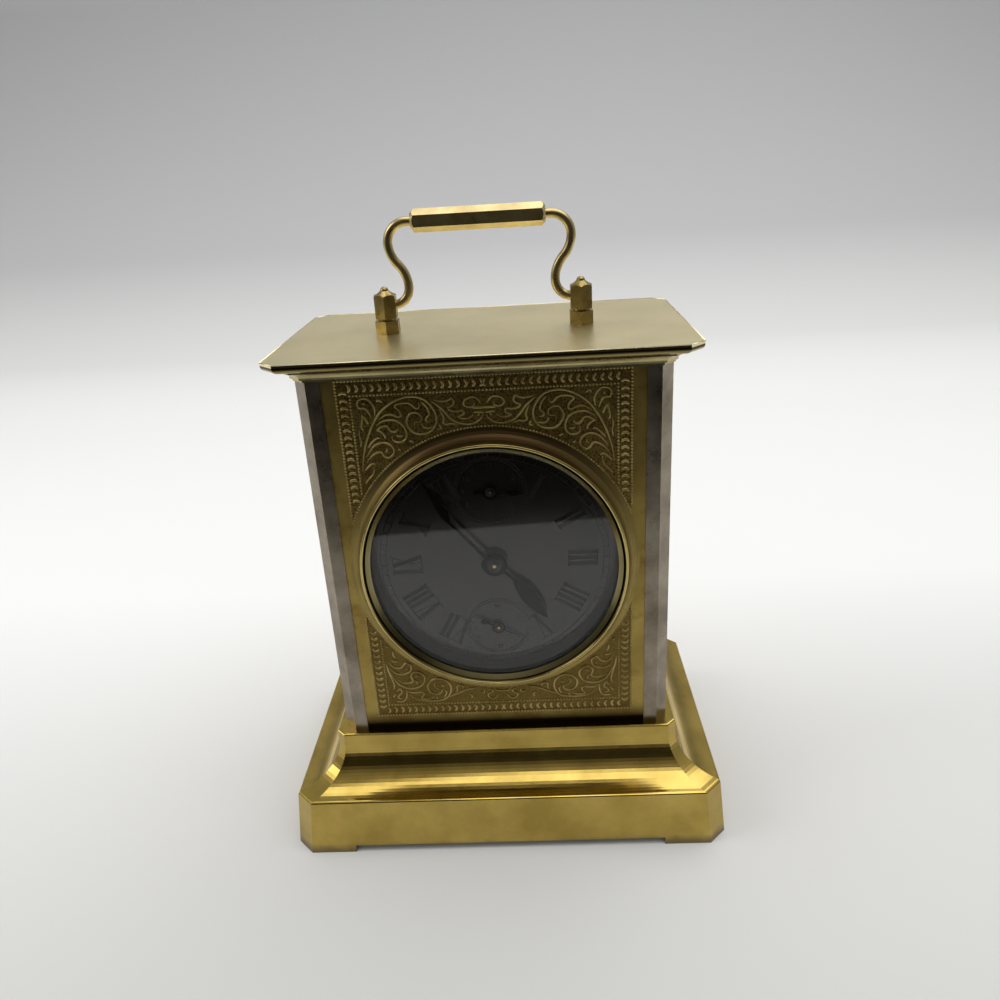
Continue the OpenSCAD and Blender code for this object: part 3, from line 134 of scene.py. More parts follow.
def dress(node_names: Iterable[str], finish: "Finish") -> None:
    """Give CAD nodes a finish.

    Args:
        node_names: CAD nodes to dress.
        finish: Finish that they get.
    """
    for name in node_names:
        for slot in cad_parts[name].material_slots:
            slot.link = "OBJECT"
            slot.material = finish.material()
        log.info("dressed %s in %s", name, finish.name)


def new_object(name: str, shape: Shape, material: bpy.types.Material, smooth: bool) -> bpy.types.Object:
    """Turn a finished shape into an object of the scene, and free the shape.

    Args:
        name: Name of the object and its mesh.
        shape: Shape in metres.
        material: Its only material.
        smooth: Whether faces are shaded smooth.

    Returns:
        The new object.
    """
    for face in shape.faces:
        face.smooth = smooth
    mesh = bpy.data.meshes.new(name)
    shape.to_mesh(mesh)
    shape.free()
    mesh.materials.append(material)
    made = bpy.data.objects.new(name, mesh)
    bpy.context.scene.collection.objects.link(made)
    return made


# Finishes


@dataclass(frozen=True)
class Finish:
    """A surface finish, with one material of the same name."""

    name: str

    def material(self) -> bpy.types.Material:
        """Make the material at its first use.

        Returns:
            The finish's one material.
        """
        made = bpy.data.materials.get(self.name)
        if made:
            return made
        made = bpy.data.materials.new(self.name)
        made.use_nodes = True
        made.node_tree.nodes.clear()
        surface = self.shader(made.node_tree)
        add_node(made.node_tree, "OutputMaterial", {"Surface": surface})
        return made

    def shader(self, tree: Tree) -> Socket:
        """Build the shader and return its output."""
        raise NotImplementedError


class Grain(Enum):
    """Direction in which a surface was brushed or polished."""

    ALONG_X = (0.04, 1.0, 1.0)
    ALONG_Z = (1.0, 1.0, 0.04)
    NONE = (1.0, 1.0, 1.0)


@dataclass(frozen=True)
class AgedMetal(Finish):
    """Metal that has been handled for a century: a clean tone, a duller one, and dark spots."""

    clean: str = "B8923E"
    dull: str = "8E6F2C"
    spot: str = "4A3514"
    roughness: Point = (0.28, 0.42)
    patina_mm: float = 14.0
    spot_mm: float = 1.6
    spot_share: float = 0.36
    grain: Grain = Grain.NONE
    grain_mm: float = 0.35
    grain_depth_mm: float = 0.004

    def place(self, tree: Tree) -> Socket:
        """Find the place on the object.

        Args:
            tree: Node tree of the material.

        Returns:
            Place in millimetres.
        """
        coords = add_node(tree, "TexCoord")
        scale = (1 / MM, 1 / MM, 1 / MM)
        return add_node(tree, "Mapping", {"Vector": coords.outputs["Object"], "Scale": scale}).outputs[0]

    def patina(self, tree: Tree, place: Socket) -> Socket:
        """Tell in soft patches how dull the metal is.

        Args:
            tree: Node tree of the material.
            place: Place on the object, in millimetres.

        Returns:
            Dullness from 0 to 1.
        """
        noise = {"Vector": place, "Scale": 1 / self.patina_mm, "Detail": 5.0, "Roughness": 0.6}
        cloud = add_node(tree, "TexNoise", noise).outputs[0]
        limits = {"Value": cloud, "From Min": 0.36, "From Max": 0.66}
        return add_node(tree, "MapRange", limits).outputs[0]

    def colour(self, tree: Tree, place: Socket) -> Socket:
        """Colour the metal with its patina and its spots.

        Args:
            tree: Node tree of the material.
            place: Place on the object, in millimetres.

        Returns:
            Base colour.
        """
        tones = {0: self.patina(tree, place), 6: linear(self.clean), 7: linear(self.dull)}
        toned = add_node(tree, "Mix", tones, data_type="RGBA").outputs[2]
        specks = {"Vector": place, "Scale": 1 / self.spot_mm, "Detail": 3.0, "Roughness": 0.7}
        speck = add_node(tree, "TexNoise", specks).outputs[0]
        edge = 0.5 + (1 - self.spot_share) * 0.3
        limits = {"Value": speck, "From Min": edge, "From Max": edge + 0.12, "To Max": 0.75}
        amount = add_node(tree, "MapRange", limits).outputs[0]
        spotted = {0: amount, 6: toned, 7: linear(self.spot)}
        return add_node(tree, "Mix", spotted, data_type="RGBA").outputs[2]

    def height(self, tree: Tree, place: Socket) -> Socket:
        """Draw the lines that brushing or polishing left.

        Args:
            tree: Node tree of the material.
            place: Place on the object, in millimetres.

        Returns:
            Fine relief from 0 to 1.
        """
        stretched = add_node(tree, "Mapping", {"Vector": place, "Scale": self.grain.value}).outputs[0]
        lines = {"Vector": stretched, "Scale": 1 / self.grain_mm, "Detail": 3.0}
        return add_node(tree, "TexNoise", lines).outputs[0]

    def rough(self, tree: Tree, place: Socket) -> Socket:
        """Vary the roughness with a wear of its own.

        Args:
            tree: Node tree of the material.
            place: Place on the object, in millimetres.

        Returns:
            Roughness between the finish's two values.
        """
        noise = {"Vector": place, "Scale": 1 / (0.4 * self.patina_mm), "Detail": 4.0}
        wear = add_node(tree, "TexNoise", noise).outputs[0]
        low, high = self.roughness
        limits = {"Value": wear, "From Min": 0.3, "From Max": 0.7, "To Min": low, "To Max": high}
        return add_node(tree, "MapRange", limits).outputs[0]

    def shader(self, tree: Tree) -> Socket:
        """Build the metal's shader.

        Args:
            tree: Node tree of the material.

        Returns:
            Surface output.
        """
        place = self.place(tree)
        bump = {"Height": self.height(tree, place), "Distance": self.grain_depth_mm * MM, "Strength": 1.0}
        sockets = {
            "Base Color": self.colour(tree, place),
            "Metallic": 1.0,
            "Roughness": self.rough(tree, place),
            "Normal": add_node(tree, "Bump", bump).outputs[0],
        }
        return add_node(tree, "BsdfPrincipled", sockets).outputs[0]


@dataclass(frozen=True)
class PressedSheet(AgedMetal):
    """Sheet brass stamped with a stippled ground in a beaded frame, darker where fingers miss it, paler
    high up as painted light and dark at its foot as painted shade.
    """

    ground: str = "604E26"
    # Painted light: the ground's colour high on the sheet, paler than low down
    painted_light_ground: str = "8A7642"
    pit: str = "2E2410"
    rust: str = "6E4A28"
    # Painted shade: foot darkens the lowest band of the sheet, just over the base, between the heights of
    # foot_z
    foot: str = "1E180C"
    frame_half: float = 37.7
    frame_low: float = 37.2
    frame_high: float = 140.2
    circle_r: float = 40.1
    stipple_mm: float = 0.7
    rust_mm: float = 6.0
    shade_z: Point = (60.0, 120.0)
    foot_z: Point = (34.0, 39.0)

    def inside(self, tree: Tree, place: Socket) -> Socket:
        """Tell the stippled ground from the plain metal.

        Args:
            tree: Node tree of the material.
            place: Place on the object, in millimetres.

        Returns:
            1 on the ground and 0 on the plain metal.
        """
        parts = add_node(tree, "SeparateXYZ", {0: place}).outputs
        across = add_node(tree, "Math", {0: parts["X"]}, operation="ABSOLUTE").outputs[0]
        edges = (
            (self.frame_half, across),
            (self.frame_high, parts["Z"]),
            (parts["Z"], self.frame_low),
            (off_axis(tree, place), self.circle_r),
        )
        least = None
        for first, second in edges:
            gap = add_node(tree, "Math", {0: first, 1: second}, operation="SUBTRACT").outputs[0]
            if least is not None:
                gap = add_node(tree, "Math", {0: least, 1: gap}, operation="MINIMUM").outputs[0]
            least = gap
        limits = {"Value": least, "From Min": -0.1, "From Max": 0.2}
        return add_node(tree, "MapRange", limits).outputs[0]

    def stipple(self, tree: Tree, place: Socket) -> Socket:
        """Return the punched texture of the ground, from 0 to 1."""
        cells = {"Vector": place, "Scale": 1 / self.stipple_mm, "Randomness": 0.8}
        return add_node(tree, "TexVoronoi", cells).outputs["Distance"]

    def colour(self, tree: Tree, place: Socket) -> Socket:
        """Colour the sheet, with tarnish in the ground and in stains, painted light that pales the ground
        high up, and painted shade at its foot.

        Args:
            tree: Node tree of the material.
            place: Place on the object, in millimetres.

        Returns:
            Base colour.
        """
        base = super().colour(tree, place)
        dots = {"Value": self.stipple(tree, place), "From Min": 0.55, "From Max": 0.15}
        pits = add_node(tree, "MapRange", dots).outputs[0]
        height = add_node(tree, "SeparateXYZ", {0: place}).outputs["Z"]
        # Painted light: the ground pales between the two heights of shade_z
        rising = {"Value": height, "From Min": self.shade_z[0], "From Max": self.shade_z[1]}
        rise = add_node(tree, "MapRange", rising).outputs[0]
        painted_light_rise = {0: rise, 6: linear(self.ground), 7: linear(self.painted_light_ground)}
        clean = add_node(tree, "Mix", painted_light_rise, data_type="RGBA").outputs[2]
        floor = {0: pits, 6: clean, 7: linear(self.pit)}
        ground = add_node(tree, "Mix", floor, data_type="RGBA").outputs[2]
        covered = {0: self.inside(tree, place), 1: 0.8}
        shade = add_node(tree, "Math", covered, operation="MULTIPLY").outputs[0]
        worked = add_node(tree, "Mix", {0: shade, 6: base, 7: ground}, data_type="RGBA").outputs[2]
        cloud = {"Vector": place, "Scale": 1 / self.rust_mm, "Detail": 6.0, "Roughness": 0.7}
        noise = add_node(tree, "TexNoise", cloud).outputs[0]
        patch = {"Value": noise, "From Min": 0.52, "From Max": 0.68, "To Max": 0.5}
        stain = {0: add_node(tree, "MapRange", patch).outputs[0], 6: worked, 7: linear(self.rust)}
        stained = add_node(tree, "Mix", stain, data_type="RGBA").outputs[2]
        # Painted shade and dark reflection: the sheet darkens towards its foot
        low = {"Value": height, "From Min": self.foot_z[1], "From Max": self.foot_z[0]}
        painted_foot_shade = {0: add_node(tree, "MapRange", low).outputs[0], 6: stained, 7: linear(self.foot)}
        return add_node(tree, "Mix", painted_foot_shade, data_type="RGBA").outputs[2]

    def height(self, tree: Tree, place: Socket) -> Socket:
        """Draw brushed lines outside the frame and the stipple inside it.

        Args:
            tree: Node tree of the material.
            place: Place on the object, in millimetres.

        Returns:
            Fine relief from 0 to 1.
        """
        brushed = {0: super().height(tree, place), 1: 0.08}
        fine = add_node(tree, "Math", brushed, operation="MULTIPLY").outputs[0]
        mixed = {0: self.inside(tree, place), 2: fine, 3: self.stipple(tree, place)}
        return add_node(tree, "Mix", mixed, data_type="FLOAT").outputs[0]


@dataclass(frozen=True)
class SpunBezel(AgedMetal):
    """Spun brass: a tarnished flare, a crest rubbed bright and painted with a highlight, a groove painted
    dark as shade, and a grey lip.
    """

    start_r: float = 33.0
    end_r: float = 41.0
    tones_and_painted_light: tuple[tuple[float, str], ...] = (
        # Bands from 35.3 to 35.75 are painted shade in the groove; bands from 35.95 to 36.45 are a painted
        # highlight on the crest, partly real rubbed brass
        (33.9, "8E8660"), (35.1, "807650"), (35.3, "2E2714"), (35.75, "3A311A"),
        (35.95, "D8C684"), (36.45, "C8B470"), (36.75, "94804A"), (39.9, "AC985C"),
    )
    stain: str = "4A3624"
    stain_z: Point = (98.0, 121.0)
    stain_r: Point = (36.5, 36.9)
    polish_r: Point = (36.4, 36.8)

    def colour(self, tree: Tree, place: Socket) -> Socket:
        """Colour each turned zone, with a painted highlight on the crest and painted shade in the groove,
        browner towards the top.

        Args:
            tree: Node tree of the material.
            place: Place on the object, in millimetres.

        Returns:
            Base colour.
        """
        radius = off_axis(tree, place)
        reach = {"Value": radius, "From Min": self.start_r, "From Max": self.end_r}
        share = add_node(tree, "MapRange", reach).outputs[0]
        span = self.end_r - self.start_r
        stops = [((r - self.start_r) / span, code) for r, code in self.tones_and_painted_light]
        turned = add_node(tree, "ValToRGB", {0: share}, stops=stops).outputs[0]
        noise = {"Vector": place, "Scale": 1 / self.patina_mm, "Detail": 5.0, "Roughness": 0.65}
        clouds = {"Value": add_node(tree, "TexNoise", noise).outputs[0], "From Min": 0.4, "From Max": 0.7}
        cloud = add_node(tree, "MapRange", clouds).outputs[0]
        height = add_node(tree, "SeparateXYZ", {0: place}).outputs["Z"]
        high = {"Value": height, "From Min": self.stain_z[0], "From Max": self.stain_z[1], "To Max": 0.85}
        upper = add_node(tree, "MapRange", high).outputs[0]
        flare = {"Value": radius, "From Min": self.stain_r[0], "From Max": self.stain_r[1]}
        outer = add_node(tree, "MapRange", flare).outputs[0]
        top = add_node(tree, "Math", {0: upper, 1: outer}, operation="MULTIPLY").outputs[0]
        patches = add_node(tree, "Math", {0: cloud, 1: 0.3}, operation="MULTIPLY").outputs[0]
        amount = add_node(tree, "Math", {0: top, 1: patches}, operation="MAXIMUM").outputs[0]
        stained = {0: amount, 6: turned, 7: linear(self.stain)}
        return add_node(tree, "Mix", stained, data_type="RGBA").outputs[2]

    def rough(self, tree: Tree, place: Socket) -> Socket:
        """Keep the crest polished and the flare dull.

        Args:
            tree: Node tree of the material.
            place: Place on the object, in millimetres.

        Returns:
            Roughness between the finish's two values.
        """
        limits = dict(zip(("From Min", "From Max", "To Min", "To Max"), self.polish_r + self.roughness))
        return add_node(tree, "MapRange", {"Value": off_axis(tree, place), **limits}).outputs[0]


@dataclass(frozen=True)
class FootedSheet(AgedMetal):
    """Polished sheet whose lowest edge has gone grey where it is wiped and stood on."""

    foot: str = "6E6450"
    foot_mm: float = 3.2
    ragged_mm: float = 5.0

    def colour(self, tree: Tree, place: Socket) -> Socket:
        """Colour the sheet, greyer towards the foot along an uneven line.

        Args:
            tree: Node tree of the material.
            place: Place on the object, in millimetres.

        Returns:
            Base colour.
        """
        height = add_node(tree, "SeparateXYZ", {0: place}).outputs["Z"]
        ragged = {"Vector": place, "Scale": 1 / self.ragged_mm, "Detail": 6.0}
        noise = add_node(tree, "TexNoise", ragged).outputs[0]
        lift = add_node(tree, "Math", {0: noise, 1: self.foot_mm}, operation="MULTIPLY").outputs[0]
        level = add_node(tree, "Math", {0: height, 1: lift}, operation="SUBTRACT").outputs[0]
        start, full = self.foot_mm / 2, -self.foot_mm / 4
        limits = {"Value": level, "From Min": start, "From Max": full, "To Max": 0.8}
        share = add_node(tree, "MapRange", limits).outputs[0]
        mixed = {0: share, 6: super().colour(tree, place), 7: linear(self.foot)}
        return add_node(tree, "Mix", mixed, data_type="RGBA").outputs[2]


@dataclass(frozen=True)
class EdgedPlate(AgedMetal):
    """Plate whose face is kept satin, whose arris shines, whose edge is painted dark as a reflection of the
    dim room, and whose underside is darker.
    """

    face_z: float = TOP_FACE_Z
    # Painted reflection: edge is the near-black colour of the band under the arris, standing in for the dim
    # room that it mirrors
    edge: str = "2A2216"
    under: str = "8A7C50"
    arris_roughness: float = 0.1
    under_mm: Point = (1.5, 1.15)
    painted_dark_edge_mm: Point = (0.8, 0.55)
    arris_mm: Point = (0.06, 0.02)

    def over(self, tree: Tree, place: Socket, depths: Point) -> Socket:
        """Tell what lies over a line under the plate's face.

        Args:
            tree: Node tree of the material.
            place: Place on the object, in millimetres.
            depths: Depths under the face where the share starts and is full.

        Returns:
            0 under the line and 1 over it.
        """
        height = add_node(tree, "SeparateXYZ", {0: place}).outputs["Z"]
        low, high = (self.face_z - depth for depth in depths)
        return add_node(tree, "MapRange", {"Value": height, "From Min": low, "From Max": high}).outputs[0]

    def colour(self, tree: Tree, place: Socket) -> Socket:
        """Colour the face above its arris and, below it, the edge painted dark as a reflection of the dim
        room.

        Args:
            tree: Node tree of the material.
            place: Place on the object, in millimetres.

        Returns:
            Base colour.
        """
        painted_dark_edge_mix = {0: self.over(tree, place, self.under_mm), 6: linear(self.under), 7: linear(self.edge)}
        side = add_node(tree, "Mix", painted_dark_edge_mix, data_type="RGBA").outputs[2]
        mixed = {0: self.over(tree, place, self.painted_dark_edge_mm), 6: side, 7: super().colour(tree, place)}
        return add_node(tree, "Mix", mixed, data_type="RGBA").outputs[2]

    def rough(self, tree: Tree, place: Socket) -> Socket:
        """Keep the face satin and polish what lies just under it.

        Args:
            tree: Node tree of the material.
            place: Place on the object, in millimetres.

        Returns:
            Roughness.
        """
        share = self.over(tree, place, self.arris_mm)
        mixed = {0: share, 2: self.arris_roughness, 3: super().rough(tree, place)}
        return add_node(tree, "Mix", mixed, data_type="FLOAT").outputs[0]


@dataclass(frozen=True)
class Enamel(Finish):
    """Sprayed dial paint with age: a dark tone that clouds towards a browner one."""

    tone: str = "16130F"
    cloud: str = "1C1814"
    roughness: float = 0.12
    ior: float = 1.5
    clouds_per_mm: float = 0.12

    def shader(self, tree: Tree) -> Socket:
        """Build the paint's shader.

        Args:
            tree: Node tree of the material.

        Returns:
            Surface output.
        """
        place = add_node(tree, "TexCoord").outputs["Object"]
        noise = {"Vector": place, "Scale": self.clouds_per_mm / MM, "Detail": 5.0, "Roughness": 0.65}
        cloud = add_node(tree, "TexNoise", noise).outputs[0]
        share = add_node(tree, "MapRange", {"Value": cloud, "From Min": 0.4, "From Max": 0.65}).outputs[0]
        colours = {0: share, 6: linear(self.tone), 7: linear(self.cloud)}
        mixed = add_node(tree, "Mix", colours, data_type="RGBA").outputs[2]
        sockets = {"Base Color": mixed, "Roughness": self.roughness, "IOR": self.ior}
        return add_node(tree, "BsdfPrincipled", sockets).outputs[0]


@dataclass(frozen=True)
class WindowGlass(Finish):
    """Flat ground glass with a bevelled edge, clear, with a faint film of dust."""

    film: str = "FFFFFF"
    film_roughness: float = 0.015
    dust_mm: float = 2.0
    ior: float = 1.41

    def shader(self, tree: Tree) -> Socket:
        """Build the glass shader, clear to shadow rays.

        Args:
            tree: Node tree of the material.

        Returns:
            Surface output.
        """
        place = add_node(tree, "TexCoord").outputs["Object"]
        noise = {"Vector": place, "Scale": 1 / (self.dust_mm * MM), "Detail": 6.0}
        dust = add_node(tree, "TexNoise", noise).outputs[0]
        limits = {"Value": dust, "From Min": 0.5, "From Max": 0.8, "To Max": self.film_roughness}
        rough = add_node(tree, "MapRange", limits).outputs[0]
        sockets = {
            "Base Color": linear(self.film), "Roughness": rough, "IOR": self.ior, "Transmission Weight": 1.0
        }
        glass = add_node(tree, "BsdfPrincipled", sockets).outputs[0]
        clear = add_node(tree, "BsdfTransparent").outputs[0]
        shadow = add_node(tree, "LightPath").outputs["Is Shadow Ray"]
        return add_node(tree, "MixShader", {0: shadow, 1: glass, 2: clear}).outputs[0]


# Modelling


class Side(Enum):
    """A wall of the case, as the directions right, up and out for someone who faces it."""

    FRONT = ((1, 0, 0), (0, 0, 1), (0, -1, 0))
    REAR = ((-1, 0, 0), (0, 0, 1), (0, 1, 0))
    LEFT = ((0, -1, 0), (0, 0, 1), (-1, 0, 0))
    RIGHT = ((0, 1, 0), (0, 0, 1), (1, 0, 0))

    def frame(self, out_mm: float) -> Matrix:
        """Return the transform from the wall's own drawing, in millimetres, to the object.

        Args:
            out_mm: Distance of the drawing's plane from the clock's axis.

        Returns:
            Matrix that takes right, up and out to metres on the object.
        """
        right, up, out = (Vector(v) for v in self.value)
        turn = Matrix((right, up, out)).transposed().to_4x4()
        return Matrix.Scale(MM, 4) @ Matrix.Translation(out * out_mm) @ turn


@dataclass(frozen=True)
class Stroke:
    """A raised line of the ornament through points read along it, with pointed ends."""

    points: tuple[Point, ...]
    width: float = 0.56
    height: float = 0.34

    def mirrored(self) -> "Stroke":
        """Return the stroke on the other side of the middle."""
        return Stroke(tuple((-x, z) for x, z in self.points), self.width, self.height)

    def path(self, step: float = 0.45) -> list[Vector]:
        """Return evenly spaced points on a smooth curve through the stroke's points.

        Args:
            step: Spacing of the points, in millimetres.

        Returns:
            Points from end to end.
        """
        knots = [Vector((x, z, 0)) for x, z in self.points]
        ends = [2 * knots[0] - knots[1]] + knots + [2 * knots[-1] - knots[-2]]
        found = []
        for before, start, end, after in zip(ends, ends[1:], ends[2:], ends[3:]):
            count = max(2, round((end - start).length / step))
            for i in range(count):
                found.append(self._between(before, start, end, after, i / count))
        return found + [knots[-1]]

    @staticmethod
    def _between(before: Vector, start: Vector, end: Vector, after: Vector, t: float) -> Vector:
        """Return the point at share t between start and end.

        Args:
            before: Point before the start.
            start: Start of the span.
            end: End of the span.
            after: Point after the end.
            t: Share of the span, from 0 to 1.

        Returns:
            Point on the curve.
        """
        bend = 2 * before - 5 * start + 4 * end - after
        twist = -before + 3 * start - 3 * end + after
        return start + 0.5 * t * ((end - before) + t * (bend + t * twist))


class Carving:
    """One piece under way: a bmesh in millimetres, in the drawing of one wall or of the object."""

    def __init__(self, name: str) -> None:
        """Start an empty piece with its name."""
        self.name = name
        self.shape = bmesh.new()

    def add(self, part: Shape, places: Iterable[Matrix] = (Matrix(),)) -> None:
        """Add a shape at each of the places, and free it.

        Args:
            part: Shape to add.
            places: Where its copies go.
        """
        mesh = bpy.data.meshes.new("part")
        part.to_mesh(mesh)
        part.free()
        for place in places:
            mesh.transform(place)
            self.shape.from_mesh(mesh)
            mesh.transform(place.inverted())
        bpy.data.meshes.remove(mesh)

    def ridge(self, path: Sequence[Vector], width: float, height: float, pointed: bool = True) -> None:
        """Sweep a rounded ridge along a path.

        Args:
            path: Points of the middle line.
            width: Full width of the ridge.
            height: Height over the plane that it lies on.
            pointed: Whether its ends draw in to points.
        """
        part = bmesh.new()
        bmesh.ops.create_circle(part, segments=6, radius=1.0)
        last = None
        for i, point in enumerate(path):
            ahead = path[min(i + 1, len(path) - 1)] - path[max(i - 1, 0)]
            share = min(i, len(path) - 1 - i) / max(1, len(path) - 1)
            slim = min(1.0, 0.25 + 5.0 * share) if pointed else 1.0
            turn = ahead.to_track_quat("Z", "Y").to_matrix().to_4x4()
            size = Matrix.Diagonal((slim * width / 2, slim * height, 1.0, 1.0))
            place = Matrix.Translation(point) @ turn @ size
            if last is None:
                bmesh.ops.transform(part, matrix=place, verts=part.verts[:])
                ring = part.edges[:]
                bmesh.ops.contextual_create(part, geom=part.verts[:])
            else:
                made = bmesh.ops.extrude_edge_only(part, edges=ring)["geom"]
                ring = [g for g in made if isinstance(g, bmesh.types.BMEdge)]
                moved = [g for g in made if isinstance(g, bmesh.types.BMVert)]
                bmesh.ops.transform(part, matrix=place @ last.inverted(), verts=moved)
            last = place
        bmesh.ops.edgeloop_fill(part, edges=ring)
        bmesh.ops.recalc_face_normals(part, faces=part.faces[:])
        self.add(part)

    def finish(
        self, place: Matrix, finish: Finish, body: str, slot: str, smooth: bool = True
    ) -> bpy.types.Object:
        """Turn the piece into an object that rides on a body.

        Args:
            place: Transform from the drawing to the object, in metres.
            finish: Surface finish.
            body: CAD body that carries it.
            slot: Not used.
            smooth: Whether faces are shaded smooth.

        Returns:
            The finished object.
        """
        bmesh.ops.transform(self.shape, matrix=place, verts=self.shape.verts[:])
        if place.determinant() < 0:
            bmesh.ops.reverse_faces(self.shape, faces=self.shape.faces[:])
        piece = new_object(self.name, self.shape, finish.material(), smooth)
        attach(piece, body)
        log.info("built %s with %d faces", self.name, len(piece.data.polygons))
        return piece


def spun(outline: Iterable[Point], steps: int) -> Shape:
    """Spin a closed outline about the upright axis.

    Args:
        outline: Radius and height of each corner.
        steps: Number of steps round.

    Returns:
        Closed ring.
    """
    part = bmesh.new()
    corners = [part.verts.new((radius, 0, height)) for radius, height in outline]
    for start, end in zip(corners, corners[1:] + corners[:1]):
        part.edges.new((start, end))
    geometry = part.verts[:] + part.edges[:]
    turn = {"axis": (0, 0, 1), "cent": (0, 0, 0), "angle": 2 * math.pi}
    bmesh.ops.spin(part, geom=geometry, steps=steps, use_merge=True, **turn)
    bmesh.ops.remove_doubles(part, verts=part.verts[:], dist=0.001)
    bmesh.ops.recalc_face_normals(part, faces=part.faces[:])
    return part


def dome(radius: float, height: float) -> Shape:
    """Shape a low round boss whose foot lies just under the drawing's plane.

    Args:
        radius: Radius of the boss.
        height: Height of the boss.

    Returns:
        The boss.
    """
    part = bmesh.new()
    bmesh.ops.create_uvsphere(part, u_segments=8, v_segments=6, radius=1.0)
    geometry = part.verts[:] + part.edges[:] + part.faces[:]
    foot = {"plane_co": (0, 0, -0.05), "plane_no": (0, 0, -1)}
    bmesh.ops.bisect_plane(part, geom=geometry, clear_outer=True, **foot)
    bmesh.ops.scale(part, vec=(radius, radius, height), verts=part.verts[:])
    return part


def upright(points: Iterable[Point]) -> list[Vector]:
    """Return points of a drawing as vectors in its plane."""
    return [Vector((x, z, 0)) for x, z in points]


def arc(centre: Point, radius: float, start: float, end: float, steps: int) -> list[Point]:
    """Return points on a circle from one angle to another, in degrees."""
    angles = [math.radians(start + (end - start) * i / steps) for i in range(steps + 1)]
    return [(centre[0] + radius * math.cos(a), centre[1] + radius * math.sin(a)) for a in angles]


def bead_frame(half: float, low: float, high: float, pitch: float) -> list[Point]:
    """Space beads round an upright rectangle.

    Args:
        half: Half of the width.
        low: Height of the lower row.
        high: Height of the upper row.
        pitch: Spacing of the beads.

    Returns:
        Middle of every bead.
    """
    across = round(2 * half / pitch)
    up = round((high - low) / pitch)
    found: list[Point] = []
    for i in range(across + 1):
        x = -half + 2 * half * i / across
        found += [(x, low), (x, high)]
    for i in range(1, up):
        z = low + (high - low) * i / up
        found += [(-half, z), (half, z)]
    return found


# Pressed ornament


@dataclass
class PressedOrnament:
    """Scrollwork, beads and crescents that were stamped into the front sheet."""

    bead_r: float = 0.36
    bead_pitch: float = 0.9
    crescent_pitch: float = 2.0
    crescent_r: float = 0.95
    crescent_half_turn: float = 78.0
    crescent_w: float = 0.85
    crescent_h: float = 0.36
    bead_h: float = 0.3
    ring_gap: float = 0.8
    outer: Triple = (37.7, 37.2, 140.2)
    inner: Triple = (34.2, 40.9, 136.3)
    ring_r: float = 40.1
    upper: tuple[Stroke, ...] = field(default_factory=lambda: UPPER_SCROLLS)
    lower: tuple[Stroke, ...] = field(default_factory=lambda: LOWER_SCROLLS)

    def build(self, finish: Finish) -> None:
        """Build the scrolls, the beads and the crescents on the front sheet.

        Args:
            finish: Finish of the raised metal.
        """
        place = Side.FRONT.frame(PANEL_FACE)
        scrolls = Carving("pressed_scrolls")
        for stroke in self.upper + self.lower:
            for side in (stroke, stroke.mirrored()):
                scrolls.ridge(side.path(), side.width, side.height)
        scrolls.finish(place, finish, "case", "antique_brass")
        beads = Carving("pressed_beads")
        beads.add(dome(self.bead_r, self.bead_h), [Matrix.Translation(p) for p in self.bead_places()])
        beads.finish(place, finish, "case", "antique_brass")
        self.crescents().finish(place, finish, "case", "antique_brass")

    def clear_of_ring(self, point: Point) -> bool:
        """Return whether a place lies outside the beaded circle."""
        return math.hypot(point[0], point[1] - CENTRE_Z) > self.ring_r + self.ring_gap

    def bead_places(self) -> list[Vector]:
        """Return the middle of every bead.

        Returns:
            Places in the drawing of the front.
        """
        frames = bead_frame(*self.outer, self.bead_pitch) + bead_frame(*self.inner, self.bead_pitch)
        found = [p for p in frames if self.clear_of_ring(p)]
        count = round(2 * math.pi * self.ring_r / self.bead_pitch)
        circle = arc((0, CENTRE_Z), self.ring_r, 0, 360 * (count - 1) / count, count - 1)
        found += [p for p in circle if abs(p[0]) < self.outer[0]]
        return upright(found)

    def crescents(self) -> Carving:
        """Return the row of crescents midway between the beaded lines.

        Returns:
            The piece under way.
        """
        carving = Carving("pressed_crescents")
        half = (self.outer[0] + self.inner[0]) / 2
        low = (self.outer[1] + self.inner[1]) / 2
        high = (self.outer[2] + self.inner[2]) / 2
        rows = round(half / self.crescent_pitch)
        for i in range(rows):
            x = (i + 0.5) * half / rows
            for side in (-1, 1):
                open_left = 0 if side < 0 else 180
                self.crescent(carving, (side * x, high), open_left)
                self.crescent(carving, (side * x, low), open_left)
        count = round((high - low) / self.crescent_pitch)
        for i in range(1, count):
            z = low + (high - low) * i / count
            if self.clear_of_ring((half + 0.5, z)):
                for side in (-1, 1):
                    self.crescent(carving, (side * half, z), 90 if z > CENTRE_Z else -90)
        return carving

    def crescent(self, carving: Carving, centre: Point, facing: float) -> None:
        """Carve one crescent whose back faces the given way, in degrees.

        Args:
            carving: Piece to carve on.
            centre: Middle of its circle.
            facing: Direction of its back.
        """
        turn = self.crescent_half_turn
        path = arc(centre, self.crescent_r, facing - turn, facing + turn, 8)
        carving.ridge(upright(path), self.crescent_w, self.crescent_h)


